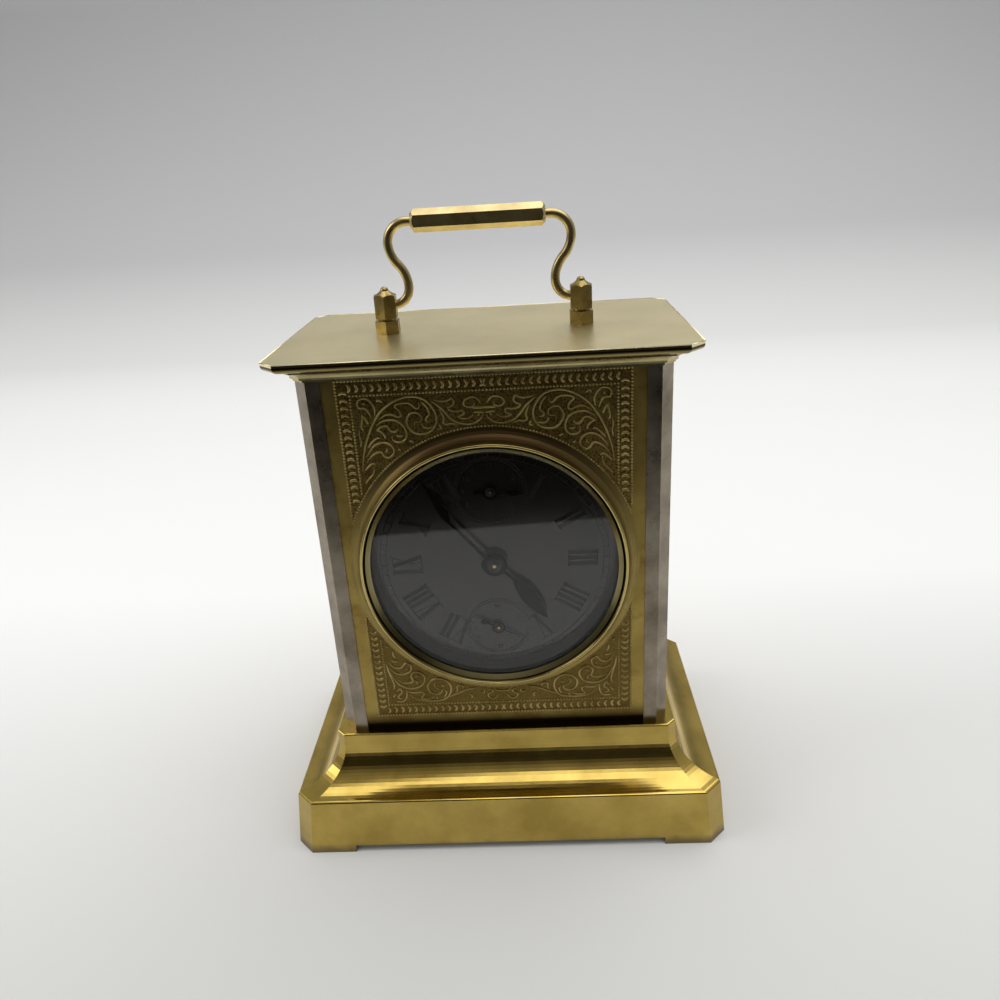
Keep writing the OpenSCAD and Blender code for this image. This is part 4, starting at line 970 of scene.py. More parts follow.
UPPER_SCROLLS = (
    # Main stem, which rolls up into the large scroll
    Stroke(
        ((-33.2, 115.6), (-32.6, 119.3), (-31.6, 123), (-30.3, 126.2), (-28.6, 129.3))
        + ((-26.5, 132), (-23.8, 134))
        + ((-20.8, 135.2), (-18, 135.4), (-15.4, 134.6), (-13.6, 132.8), (-12.5, 130.4), (-12.6, 128.2))
        + ((-13.6, 126.4), (-15.3, 125.4), (-17.4, 125.3), (-19.1, 126.3), (-20.2, 128.3), (-19.9, 130))
        + ((-18.9, 131.1), (-17.4, 131), (-16.3, 130.1), (-16.4, 128.9), (-17.3, 128.6))
        + ((-18.3, 128.4), (-18.2, 127)),
        0.64,
    ),
    Stroke(((-13.4, 127.1), (-14.9, 126.8), (-16, 127.2), (-16.4, 128.2))),
    Stroke(
        ((-16.2, 133.9), (-15.2, 133.2), (-14.5, 132), (-14.2, 130.5), (-15.2, 129.4), (-14.9, 128.6))
        + ((-14, 128.5),),
    ),
    # Leaf with a hooked tip inside the stem
    Stroke(
        ((-27.5, 129.6), (-26.4, 130.4), (-25, 131), (-23.6, 130.8), (-22.4, 130.2))
        + ((-21.6, 130.3), (-21.5, 131.2))
        + ((-22, 132.1), (-22.9, 132.9), (-22.6, 133.5), (-21.2, 133.8), (-19.6, 133.8), (-18.5, 133.3))
        + ((-17.7, 132.4), (-17, 132.2), (-16.6, 132.8), (-16.7, 133.9))
    ),
    # Second scroll
    Stroke(
        ((-28.2, 128), (-27, 129), (-25.4, 129.5), (-23.6, 129.4), (-22, 128.7))
        + ((-20.9, 127.3), (-20.5, 125.6))
        + ((-20.9, 124.2), (-22, 123.4), (-23.5, 123.5), (-24.4, 124.3), (-24.3, 125.4)),
        0.6,
    ),
    Stroke(((-23.3, 125.2), (-22.3, 124.9), (-21.5, 125.2)), 0.5),
    Stroke(
        ((-28.5, 126.7), (-27.6, 127.3), (-26.5, 127.9), (-25.4, 127.8), (-24.9, 127), (-24.2, 126.3))
        + ((-23.3, 126.3), (-22.6, 127)),
    ),
    Stroke(((-28.4, 126.8), (-27.6, 126.7), (-26.8, 126.1), (-26.2, 125.2), (-26.3, 124.5))),
    Stroke(((-31, 122.2), (-30.2, 123.2), (-29.2, 124.2), (-28.2, 124.8), (-27.5, 124.5))),
    # Third scroll
    Stroke(
        ((-31.6, 119.8), (-30.6, 121.3), (-29.3, 122.7), (-27.6, 123.4), (-26, 123.3))
        + ((-24.7, 122.4), (-24.2, 121.2))
        + ((-24.7, 119.9), (-26, 119.2), (-27, 119.8), (-27.5, 120.7), (-28.4, 120.9), (-29.6, 120.4))
        + ((-30.9, 119.3), (-31.8, 118.2)),
        0.6,
    ),
    Stroke(((-26.2, 121.9), (-26, 121.2), (-26.8, 120.8)), 0.5),
    # Small leaves near the end of the stem
    Stroke(((-32.6, 115.9), (-31.5, 116.9), (-30.4, 117.7), (-29.3, 117.3))),
    Stroke(((-30, 117), (-30.1, 115.8), (-30.6, 114.6), (-31.6, 113.6), (-32.9, 112.2))),
    Stroke(((-30.2, 113.4), (-30.8, 112.2), (-31.8, 110.9), (-33, 109.6))),
    # Corner volute with its leaf
    Stroke(
        ((-28.4, 130.6), (-28.1, 132.6), (-28.6, 134), (-29.6, 135.2), (-30.8, 135.5))
        + ((-32.1, 135.1), (-32.5, 134.1))
        + ((-32, 133), (-31, 133), (-30.2, 132.6), (-29.7, 131.6), (-29.3, 130.2)),
    ),
    Stroke(((-31.1, 134), (-30.7, 134.1), (-30.4, 133.9)), 0.6),
    Stroke(((-31.8, 131.2), (-31, 130.4), (-30.5, 129.4), (-30.2, 128.6))),
    Stroke(((-31.6, 130.8), (-31.8, 129.4), (-32.1, 128), (-31.7, 126.9))),
    Stroke(((-32.6, 127.4), (-32.9, 125.8), (-32.6, 124.2), (-32.9, 122.4)), 0.45),
    Stroke(((-27.4, 134.3), (-27.1, 134.9), (-26.5, 134.8), (-26, 134.2))),
    Stroke(((-20, 123.6), (-19.4, 123.4), (-18.8, 123.0)), 0.5),
    Stroke(((-23.2, 121.5), (-22.8, 121.3), (-22.4, 120.8)), 0.5),
    # Branch that runs to the middle, with the lobed leaf over it
    Stroke(
        ((-13.6, 133.9), (-12.4, 133.2), (-11, 132), (-10, 130.8), (-8.8, 129.2))
        + ((-7.4, 128.1), (-5.8, 127.5))
        + ((-4, 127.3), (-2.4, 127.7), (-1, 128.8), (-0.4, 130)),
        0.6,
    ),
    Stroke(
        ((-13.2, 134.4), (-11.6, 133.9), (-10, 133.8), (-9, 134.1), (-8.3, 134.5))
        + ((-7.7, 134), (-7.7, 133.1))
        + ((-8.4, 132.4), (-9.3, 132.1), (-8.9, 131.4), (-7.9, 131), (-6.7, 131))
        + ((-5.8, 131.2), (-5.3, 130.8))
        + ((-5.5, 130.1), (-6.3, 129.7), (-6.8, 129.5), (-6, 129), (-4.8, 128.9))
        + ((-3.6, 129.2), (-2.9, 130)),
    ),
    Stroke(
        ((-11.6, 131.9), (-10.9, 130.6), (-10.5, 129.3), (-10.8, 128.1), (-9.8, 127.5), (-8.9, 127.8))
        + ((-8, 127.5), (-6.8, 127.3)),
    ),
    Stroke(((-12, 127.6), (-11.3, 126.6), (-12.4, 126.3)), 0.5),
    # Volutes and clasp in the middle
    Stroke(
        ((-0.8, 132.6), (-1.3, 133.7), (-2.3, 134.5), (-3.6, 134.5), (-4.8, 133.9))
        + ((-5.2, 133), (-4.7, 132.2))
        + ((-3.8, 131.9), (-2.9, 132.1), (-2.4, 132.8), (-2.7, 133.1)),
    ),
    Stroke(((-3, 131.7), (-1.5, 131.7), (0.2, 131.7)), 0.8),
    Stroke(((-2.9, 130.5), (-1.5, 130.5), (0, 130.3))),
    Stroke(((-1.5, 130.4), (-1.5, 130), (-1.7, 129.4)), 0.45),
)

LOWER_SCROLLS = (
    # Upper small scroll
    Stroke(
        ((-33, 56.6), (-32, 54.9), (-30.8, 54), (-29.4, 53.9), (-28.7, 54.6), (-28.1, 55.3))
        + ((-27.1, 55.3), (-26.4, 54.6))
        + ((-26.4, 53.4), (-27, 52.4), (-28.4, 51.7), (-30, 51.7), (-31.4, 52.5), (-33, 54.2)),
    ),
    Stroke(((-27.9, 53.9), (-27.7, 53.5), (-27.8, 53)), 0.5),
    Stroke(((-31.2, 59.6), (-31.2, 58.4), (-30.6, 57.2))),
    Stroke(((-33.2, 62), (-32.8, 61.3), (-32.4, 60.8))),
    Stroke(((-32, 56.5), (-30.9, 56.1), (-29.8, 56.3))),
    # Middle scroll
    Stroke(
        ((-30.6, 49.6), (-29.8, 48.8), (-28.4, 48.5), (-26.9, 48.6), (-26.2, 49.3))
        + ((-26.5, 50.1), (-26.7, 51))
        + ((-26.2, 51.9), (-25, 52.4), (-23.8, 52), (-22.9, 50.9), (-22.7, 49.6))
        + ((-23.3, 48.2), (-24.4, 47.1))
        + ((-26, 46.6), (-27.8, 46.7), (-29.3, 47.4), (-30.8, 48.6), (-33.2, 52.9)),
        0.6,
    ),
    Stroke(((-26.1, 49.5), (-25.3, 49.2), (-25, 48.5), (-25.3, 47.9)), 0.5),
    Stroke(((-25.6, 50.7), (-24.9, 51), (-24.3, 50.9)), 0.5),
    # Side stem
    Stroke(((-33.6, 55.6), (-33.3, 53.5), (-32.6, 50.8), (-32, 48.4), (-32.1, 46.9), (-32.5, 46.2))),
    # Leaf and stem of the large scroll
    Stroke(
        ((-28.6, 45.8), (-27.2, 45.1), (-25.4, 45), (-24.2, 45.3), (-23.4, 44.9))
        + ((-23.5, 44.1), (-24.1, 43.4))
        + ((-24, 42.8), (-22.6, 42.6), (-21.2, 42.8), (-20.4, 43.5)),
    ),
    Stroke(
        ((-28.1, 44.6), (-27, 43.6), (-25.4, 42.6), (-23, 42), (-20.4, 41.9), (-18, 42.2))
        + ((-16.6, 43), (-15.6, 44.4))
        + ((-15.2, 46.2), (-15.7, 48), (-16.8, 49.2), (-18.6, 49.8), (-20.5, 49.3))
        + ((-21.8, 48), (-22.1, 46.5))
        + ((-21.3, 45), (-19.9, 44.3), (-18.6, 44.5), (-17.9, 45.6), (-18.9, 46.1), (-19.8, 46.6))
        + ((-20.1, 47.5), (-19.6, 48.4)),
        0.64,
    ),
    Stroke(((-18, 46.6), (-17.6, 47.3), (-16.9, 47.5)), 0.5),
    Stroke(((-17.4, 45.9), (-16.7, 45.2), (-16.9, 44), (-17.6, 43.1))),
    Stroke(((-19.6, 43.6), (-19.5, 42.9), (-19.9, 42.3)), 0.5),
    # Corner volute
    Stroke(((-28.5, 45.8), (-28.5, 44.6), (-28.8, 43.2), (-29.6, 42.2), (-30.6, 42), (-32, 42.1))),
    Stroke(
        ((-31.6, 45.6), (-30.9, 46.1), (-30.5, 46.7), (-30, 45.9), (-30, 45), (-30.8, 44.4), (-31.2, 43.7))
        + ((-30.7, 43.1), (-29.9, 43)),
    ),
    Stroke(((-32.6, 43.4), (-32.4, 44.2), (-31.6, 44.5))),
    # Branch that runs to the middle
    Stroke(((-16.5, 43), (-14.6, 43.8), (-12.6, 44.6), (-10.4, 45.6), (-8.6, 46), (-7.2, 46.1)), 0.6),
    Stroke(
        ((-14.1, 44.6), (-13.4, 45.3), (-13.4, 46.6), (-12.8, 47.2), (-12, 47.1), (-11.5, 46.5))
        + ((-11.7, 45.8),),
    ),
    Stroke(((-10, 44.1), (-9.3, 43.7), (-9.1, 43), (-9.5, 42.4))),
    Stroke(((-6.8, 44.9), (-6, 44.3), (-5.4, 44.3), (-5.4, 45.5))),
    Stroke(
        ((-4.2, 45.4), (-3.2, 45.3), (-2.9, 44.5), (-3.9, 44.1), (-4.4, 43.4), (-4, 42.5), (-2.8, 42.2))
        + ((-1.9, 42.7), (-1.3, 43.6), (-0.7, 43.9)),
    ),
    Stroke(((-2.1, 45.5), (-1.6, 44.9), (0.2, 44.9)), 0.7),
)


# Dial


@dataclass(frozen=True)
class SmallDial:
    """A sub-dial: its place, its numbers and its ring of ticks."""

    centre: Point
    numbers: tuple[str, ...]
    number_r: float
    number_h: float
    ring: Point
    ticks: int


@dataclass
class ClockDial:
    """Printing on the dial: Roman hours, the minute track and two small dials."""

    ink_t: float = 0.03
    numeral_r: Point = (20.6, 28.6)
    thick: float = 1.15
    thin: float = 0.34
    track: Point = (30.4, 32.0)
    line_half: float = 0.09
    tick_w: float = 0.16
    hours: tuple[str, ...] = ("", "I", "II", "III", "IIII", "V", "", "VII", "VIII", "IX", "X", "XI")
    letter_w: Mapping[str, float] = field(default_factory=lambda: {"I": 1.75, "V": 4.3, "X": 4.5})
    small: tuple[SmallDial, ...] = (
        SmallDial(
            (0, CENTRE_Z + SUBDIAL_OFFSET), tuple(str(n) for n in (12, *range(1, 12))),
            7.4, 1.9, (9.2, 9.9), 48,
        ),
        SmallDial(
            (0, CENTRE_Z - SUBDIAL_OFFSET), ("60", "10", "20", "30", "40", "50"), 6.7, 1.8, (8.2, 9.0), 60
        ),
    )

    def build(self, ink: Finish) -> None:
        """Print the dial.

        Args:
            ink: Finish of the printing.
        """
        place = Side.FRONT.frame(DIAL_FACE)
        hours = Carving("dial_hours")
        for hour, letters in enumerate(self.hours):
            if letters:
                self.numeral(hours, letters, hour * 30)
        hours.finish(place, ink, "case", "dial_paint", smooth=False)
        track = Carving("dial_minute_track")
        self.track_rings(track, (0, CENTRE_Z), self.track, 60)
        track.finish(place, ink, "case", "dial_paint", smooth=False)
        for name, dial in zip(("dial_alarm_ring", "dial_seconds_ring"), self.small):
            carving = Carving(name)
            self.track_rings(carving, dial.centre, dial.ring, dial.ticks)
            for i, number in enumerate(dial.numbers):
                self.number(carving, number, dial, 360 * i / len(dial.numbers))
            carving.finish(place, ink, "case", "dial_paint", smooth=False)

    def bar(self, start: Point, end: Point, width: float) -> Shape:
        """Return a straight flat stroke of ink between two points.

        Args:
            start: One end.
            end: The other end.
            width: Width of the stroke.

        Returns:
            The stroke.
        """
        along = Vector(end) - Vector(start)
        middle = (Vector(start) + Vector(end)) / 2
        part = bmesh.new()
        bmesh.ops.create_cube(part, size=1.0)
        turn = Matrix.Rotation(math.atan2(along.y, along.x), 4, "Z")
        size = Matrix.Diagonal((along.length, width, self.ink_t, 1.0))
        lift = Matrix.Translation((middle.x, middle.y, self.ink_t / 2 - 0.005))
        bmesh.ops.transform(part, matrix=lift @ turn @ size, verts=part.verts[:])
        return part

    def numeral(self, carving: Carving, letters: str, angle: float) -> None:
        """Print one Roman numeral with its feet towards the middle.

        Args:
            carving: Piece to print on.
            letters: The numeral.
            angle: Place on the dial, clockwise from the top, in degrees.
        """
        low, high = self.numeral_r
        width = sum(self.letter_w[c] for c in letters)
        turn = Matrix.Rotation(-math.radians(angle), 4, "Z")
        place = Matrix.Translation((0, CENTRE_Z, 0)) @ turn
        left = -width / 2
        for letter in letters:
            right = left + self.letter_w[letter]
            for start, end, stroke in self.letter(letter, left, right):
                carving.add(self.bar(start, end, stroke), [place])
            left = right
        for level in (low, high):
            carving.add(self.bar((-width / 2, level), (width / 2, level), self.thin), [place])

    def letter(self, letter: str, left: float, right: float) -> list[tuple[Point, Point, float]]:
        """Draw one Roman letter.

        Args:
            letter: I, V or X.
            left: Its left side.
            right: Its right side.

        Returns:
            Start, end and width of each stroke.
        """
        low, high = self.numeral_r
        middle = (left + right) / 2
        inner = self.thick * 0.75
        if letter == "I":
            return [((middle, low), (middle, high), self.thick)]
        if letter == "V":
            return [
                ((left + inner, high), (middle, low), self.thick),
                ((right - inner, high), (middle, low), self.thin),
            ]
        return [
            ((left + inner, high), (right - inner, low), self.thick),
            ((right - inner, high), (left + inner, low), self.thin),
        ]

    def track_rings(self, carving: Carving, centre: Point, radii: Point, ticks: int) -> None:
        """Print two thin rings with ticks between them.

        Args:
            carving: Piece to print on.
            centre: Middle of the rings.
            radii: Radius of each ring.
            ticks: Number of ticks.
        """
        half, flat = self.line_half, self.line_half / 4
        for radius in radii:
            ring = spun(((radius, flat), (radius - half, 0), (radius, -flat), (radius + half, 0)), 96)
            carving.add(ring, [Matrix.Translation((*centre, 0.005))])
        turns = [Matrix.Rotation(2 * math.pi * i / ticks, 4, "Z") for i in range(ticks)]
        places = [Matrix.Translation((*centre, 0)) @ turn for turn in turns]
        carving.add(self.bar((radii[0], 0), (radii[1], 0), self.tick_w), places)

    def number(self, carving: Carving, number: str, dial: SmallDial, angle: float) -> None:
        """Print one small upright number on a sub-dial.

        Args:
            carving: Piece to print on.
            number: Digits to print.
            dial: Sub-dial that gets them.
            angle: Place, clockwise from the top, in degrees.
        """
        text = bpy.data.curves.new("number", "FONT")
        text.body = number
        text.size = dial.number_h
        text.align_x = "CENTER"
        text.align_y = "CENTER"
        text.extrude = self.ink_t / 2
        writer = bpy.data.objects.new("number", text)
        mesh = bpy.data.meshes.new_from_object(writer)
        turned = math.radians(90 - angle)
        x = dial.centre[0] + dial.number_r * math.cos(turned)
        z = dial.centre[1] + dial.number_r * math.sin(turned)
        mesh.transform(Matrix.Translation((x, z, self.ink_t / 2)))
        carving.shape.from_mesh(mesh)
        bpy.data.meshes.remove(mesh)
        bpy.data.objects.remove(writer)
        bpy.data.curves.remove(text)


# Fittings


@dataclass(frozen=True)
class ScrewKind:
    """One size of screw, the middles of its heads' tops and the way that the heads face."""

    head_r: float
    head_h: float
    length: float
    out: Triple
    places: tuple[Triple, ...]


@dataclass
class SlottedScrews:
    """Cheese-headed and headless screws of the case and of the movement, each with its slot."""

    shank_r: float = 1.4
    slot_w: float = 0.6
    slot_deep: float = 0.55
    chamfer: float = 0.22
    turn_step: float = 37.0
    case_at: Point = (45.0, 24.5)
    lug_at: Point = (54.5, 34.0)
    seat_at: Triple = (29.0, -13.3, 3.9)
    plate_at: Triple = (26.0, 46.0, 119.5)
    deck_z: float = 29.7
    cornice_z: float = 144.2
    foot_z: float = 0.4
    front_plate_y: float = -20.2
    back_plate_y: float = 10.8
    cheese_head: Point = (2.6, 1.6)
    foot_head: Point = (1.4, 0.9)
    plate_head: Point = (2.2, 1.2)

    def kinds(self) -> tuple[ScrewKind, ...]:
        """Return every kind of screw with its places, in millimetres.

        Returns:
            Kinds with their sizes and places.
        """
        sides = (-1, 1)
        case = [(x * self.case_at[0], y * self.case_at[1]) for x in sides for y in sides]
        lugs = tuple((x * self.lug_at[0], y * self.lug_at[1], self.foot_z) for x in sides for y in sides)
        seats = tuple((x * self.seat_at[0], y, self.deck_z) for x in sides for y in self.seat_at[1:])
        plate = [(x * self.plate_at[0], z) for x in sides for z in self.plate_at[1:]]
        front = tuple((x, self.front_plate_y, z) for x, z in plate)
        back = tuple((x, self.back_plate_y, z) for x, z in plate)
        return (
            ScrewKind(*self.cheese_head, 10.75, (0, 0, -1), tuple((*p, self.deck_z) for p in case)),
            ScrewKind(*self.cheese_head, 11.7, (0, 0, 1), tuple((*p, self.cornice_z) for p in case)),
            ScrewKind(*self.foot_head, 9.0, (0, 0, -1), lugs),
            ScrewKind(*self.cheese_head, 4.35, (0, 0, -1), seats),
            ScrewKind(*self.plate_head, 6.8, (0, -1, 0), front),
            ScrewKind(*self.plate_head, 6.8, (0, 1, 0), back),
        )

    def build(self, finish: Finish) -> None:
        """Build the screws in place of the plain ones.

        Args:
            finish: Finish of the screws.
        """
        carving = Carving("slotted_screws")
        for kind in self.kinds():
            places = [self.stand(kind, place, i) for i, place in enumerate(kind.places)]
            for part in self.parts(kind):
                carving.add(part, places)
        screws = carving.finish(Matrix.Scale(MM, 4), finish, "case", "steel", smooth=False)
        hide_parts("machine_screws")

    def stand(self, kind: ScrewKind, place: Triple, count: int) -> Matrix:
        """Stand a screw at its place, its slot turned unlike the next one's.

        Args:
            kind: Kind of screw.
            place: Middle of its head's top.
            count: Its number among its kind.

        Returns:
            Transform of the screw.
        """
        turn = Vector(kind.out).to_track_quat("Z", "Y").to_matrix().to_4x4()
        slot = Matrix.Rotation(math.radians(self.turn_step * (count + 1)), 4, "Z")
        return Matrix.Translation(place) @ turn @ slot

    def parts(self, kind: ScrewKind) -> list[Shape]:
        """Shape the shank, the head's lower disc and its two halves beside the slot.

        Args:
            kind: Kind of screw.

        Returns:
            The four shapes.
        """
        shank = self.rod(self.shank_r, kind.head_h - 0.1, kind.length)
        disc = self.rod(kind.head_r, self.slot_deep, kind.head_h)
        return [shank, disc, self.half_head(kind, -1), self.half_head(kind, 1)]

    def rod(self, radius: float, start: float, end: float, top_r: float | None = None) -> Shape:
        """Shape a round bar between two depths under the top of the head.

        Args:
            radius: Radius at the lower end.
            start: Depth of the upper end.
            end: Depth of the lower end.
            top_r: Radius at the upper end, if it differs.

        Returns:
            The bar.
        """
        part = bmesh.new()
        ends = {"radius1": radius, "radius2": radius if top_r is None else top_r}
        bmesh.ops.create_cone(part, cap_ends=True, segments=20, depth=end - start, **ends)
        bmesh.ops.translate(part, vec=(0, 0, -(start + end) / 2), verts=part.verts[:])
        return part

    def half_head(self, kind: ScrewKind, side: int) -> Shape:
        """Shape the part of the head on one side of the slot.

        Args:
            kind: Kind of screw.
            side: Side of the slot, -1 or 1.

        Returns:
            The closed shape.
        """
        part = self.rod(kind.head_r, 0, self.slot_deep + 0.05, kind.head_r - self.chamfer)
        geometry = part.verts[:] + part.edges[:] + part.faces[:]
        wall = {"plane_co": (side * self.slot_w / 2, 0, 0), "plane_no": (-side, 0, 0)}
        cut = bmesh.ops.bisect_plane(part, geom=geometry, clear_outer=True, **wall)["geom_cut"]
        bmesh.ops.edgeloop_fill(part, edges=[g for g in cut if isinstance(g, bmesh.types.BMEdge)])
        bmesh.ops.recalc_face_normals(part, faces=part.faces[:])
        return part


@dataclass(frozen=True)
class Collet:
    """Turned collar that holds a hand on its arbor."""

    name: str
    body: str
    centre_z: float
    hand_face: float
    height: float
    outer_r: float
    hole_r: float

    def build(self, finish: Finish) -> None:
        """Spin the collar's outline about the arbor, on the hand's face.

        Args:
            finish: Finish of the collar.
        """
        waist = 0.62 * self.outer_r
        outline = (
            (self.hole_r, -0.05), (self.hole_r, self.height), (waist, self.height),
            (waist + 0.12, 0.55 * self.height), (self.outer_r, 0.4 * self.height), (self.outer_r, -0.05),
        )
        carving = Carving(self.name)
        carving.add(spun(outline, 32), [Matrix.Translation((0, self.centre_z, 0))])
        carving.finish(Side.FRONT.frame(self.hand_face), finish, self.body, "steel", smooth=False)


COLLETS = (
    Collet("collet_centre", "centre", CENTRE_Z, 27.9, 0.6, 2.1, 0.5),
    Collet("collet_seconds", "fourth", CENTRE_Z - SUBDIAL_OFFSET, 25.7, 0.42, 1.3, 0.4),
    Collet("collet_alarm", "alarm_set", CENTRE_Z + SUBDIAL_OFFSET, 25.7, 0.42, 1.3, 0.4),
)


@dataclass(frozen=True)
class PanelBorder:
    """Beaded line and plain fillet round a side or rear panel."""

    name: str
    wall: Side
    face: float
    half: float
    low: float = 37.2
    high: float = 136.0
    inset: float = 1.7
    bead_r: float = 0.36
    bead_h: float = 0.3
    bead_pitch: float = 0.9
    fillet_w: float = 0.5
    fillet_h: float = 0.22

    def build(self, finish: Finish) -> None:
        """Raise the beads and the fillet on the panel's face.

        Args:
            finish: Finish of the raised metal.
        """
        carving = Carving(self.name)
        carving.add(dome(self.bead_r, self.bead_h), [Matrix.Translation(p) for p in self.beads()])
        half, low, high = self.half - self.inset, self.low + self.inset, self.high - self.inset
        corners = ((-half, low), (half, low), (half, high), (-half, high), (-half, low))
        for start, end in zip(corners, corners[1:]):
            carving.ridge(upright((start, end)), self.fillet_w, self.fillet_h, pointed=False)
        carving.finish(self.wall.frame(self.face), finish, "case", "antique_brass")

    def beads(self) -> list[Vector]:
        """Return the middle of every bead."""
        return upright(bead_frame(self.half, self.low, self.high, self.bead_pitch))


@dataclass
class TopArris:
    """Rubbed arris round the top plate, pale as rubbed brass and as a painted highlight, which catches the
    light.
    """

    half_x: float = 55.0
    half_y: float = 34.5
    corner: float = 4.0
    width: float = 0.36
    height: float = 0.12

    def build(self, finish: Finish) -> None:
        """Run a fine rounded line along the plate's upper edge.

        Args:
            finish: Finish of the rubbed edge.
        """
        carving = Carving("top_arris")
        x, y, cut = self.half_x, self.half_y, self.corner
        quarter = ((x - cut, y), (x, y - cut))
        path = []
        for sx, sy in ((1, 1), (1, -1), (-1, -1), (-1, 1)):
            path += [(sx * px, sy * py) for px, py in (quarter if sx == sy else quarter[::-1])]
        for start, end in zip(path, path[1:] + path[:1]):
            carving.ridge(upright((start, end)), self.width, self.height, pointed=False)
        place = Matrix.Translation((0, 0, TOP_FACE_Z * MM)) @ Matrix.Scale(MM, 4)
        carving.finish(place, finish, "case", "gilt_brass")


BORDERS = (
    PanelBorder("left_border", Side.LEFT, 49.15, 17.6),
    PanelBorder("right_border", Side.RIGHT, 49.15, 17.6),
    PanelBorder("rear_border", Side.REAR, 27.7, 37.6),
)


# Studio


@dataclass
class Studio:
    """Pale floor, soft lamps and the camera at the photograph's place."""

    camera_at: Triple = (12.033, -232.015, 191.085)
    camera_turn: Triple = (-0.395, 0.061, 0.046)
    focal_px: float = 828.09
    frame_px: int = 1000
    sensor_mm: float = 36.0
    table_front: float = -248.0
    table_skew: float = 0.088
    wall_at: float = 1.1
    bend_r: float = 0.7
    backdrop: str = "D0D0CE"
    room_floor: str = "2A2826"
    room_front: str = "34322E"
    room_back: str = "D2D2CE"
    room_above: str = "A8A6A2"
    fill: str = "F4F4F0"
    fill_strength: float = 0.55
    # Painted light and shade on the wall: a darker band low down and paler tones high up
    wall_painted_light: tuple[tuple[float, str], ...] = (
        (0.0, "E2E2E2"), (0.1, "BEBEC0"), (0.4, "AEAEB0"), (0.8, "EAEAEA"), (1.2, "F8F8F6"),
    )

    def build(self) -> None:
        """Build the camera, the floor, the room and the lamps."""
        self.camera()
        self.table()
        self.world()
        self.lamps()

    def camera(self) -> None:
        """Place the camera and make it the scene's."""
        data = bpy.data.cameras.new("camera")
        data.sensor_width = self.sensor_mm
        data.lens = self.focal_px / self.frame_px * self.sensor_mm
        data.clip_start = 0.01
        data.clip_end = 20.0
        pitch, roll, yaw = self.camera_turn
        axes = Matrix.Rotation(yaw, 3, "Z") @ Matrix.Rotation(pitch, 3, "X") @ Matrix.Rotation(roll, 3, "Y")
        right, ahead, up = (axes.col[i] for i in range(3))
        turn = Matrix((right, up, -ahead)).transposed().to_4x4()
        camera = bpy.data.objects.new("camera", data)
        camera.matrix_world = Matrix.Translation(Vector(self.camera_at) * MM) @ turn
        bpy.context.scene.collection.objects.link(camera)
        bpy.context.scene.camera = camera

    def board(self, name: str, profile: Sequence[Point], half: float, material: bpy.types.Material) -> None:
        """Sweep an outline of depths and heights sideways as part of the stage, in metres.

        Args:
            name: Name of the board.
            profile: Depths and heights along the outline.
            half: Half of its width.
            material: Material of the board.
        """
        shape = bmesh.new()
        last = None
        for depth, height in profile:
            corner = shape.verts.new((-half, depth, height))
            if last:
                shape.edges.new((last, corner))
            last = corner
        made = bmesh.ops.extrude_edge_only(shape, edges=shape.edges[:])["geom"]
        moved = [g for g in made if isinstance(g, bmesh.types.BMVert)]
        bmesh.ops.translate(shape, vec=(2 * half, 0, 0), verts=moved)
        for corner in shape.verts:
            if abs(corner.co.y - self.table_front * MM) < 1e-6:
                corner.co.y -= self.table_skew * corner.co.x
        bmesh.ops.recalc_face_normals(shape, faces=shape.faces[:])
        board = new_object(name, shape, material, True)

    def matt(
        self, name: str, front: str, floor: str, heights: Sequence[tuple[float, str]], backdrop: str = ""
    ) -> bpy.types.Material:
        """Return a matt paper for the stage, darker at the floor's front edge as a painted shadow and toned
        up the wall with painted light and shade.

        Args:
            name: Name of the material.
            front: Colour of the floor at the front edge, darker as a painted shadow.
            floor: Colour of the floor round the object.
            heights: Height in metres and colour of each tone above the floor, painted light and shade on
                the wall.
            backdrop: Colour that the camera sees instead, if any.

        Returns:
            The material.
        """
        made = bpy.data.materials.new(name)
        made.use_nodes = True
        tree = made.node_tree
        tree.nodes.clear()
        parts = add_node(tree, "SeparateXYZ", {0: add_node(tree, "TexCoord").outputs["Object"]}).outputs
        # Painted shadow: the floor darkens towards its front edge
        depth = {"Value": parts["Y"], "From Min": self.table_front * MM, "From Max": 0.12}
        out_of_painted_shadow = add_node(tree, "MapRange", depth).outputs[0]
        tones = {0: out_of_painted_shadow, 6: linear(front), 7: linear(floor)}
        ground = add_node(tree, "Mix", tones, data_type="RGBA").outputs[2]
        top = heights[-1][0]
        # Painted light and shade: the wall's tones by height
        rise = add_node(tree, "MapRange", {"Value": parts["Z"], "From Max": top}).outputs[0]
        stops = [(z / top, code) for z, code in heights]
        wall = add_node(tree, "ValToRGB", {0: rise}, stops=stops).outputs[0]
        lifted = {"Value": parts["Z"], "From Min": 0.001, "From Max": 0.02}
        up = add_node(tree, "MapRange", lifted).outputs[0]
        paper = add_node(tree, "Mix", {0: up, 6: ground, 7: wall}, data_type="RGBA").outputs[2]
        surface = add_node(tree, "BsdfDiffuse", {"Color": paper}).outputs[0]
        if backdrop:
            pale = add_node(tree, "Emission", {"Color": linear(backdrop), "Strength": 1.0}).outputs[0]
            seen = add_node(tree, "LightPath").outputs["Is Camera Ray"]
            surface = add_node(tree, "MixShader", {0: seen, 1: surface, 2: pale}).outputs[0]
        add_node(tree, "OutputMaterial", {"Surface": surface})
        return made

    def table(self) -> None:
        """Lay the pale sweep, which runs up into a wall, and the dark floor beyond its front edge."""
        front = self.table_front * MM
        bend = arc((self.wall_at - self.bend_r, self.bend_r), self.bend_r, -90, 0, 24)
        sweep = [(front, 0.0), *bend, (self.wall_at, 3.0)]
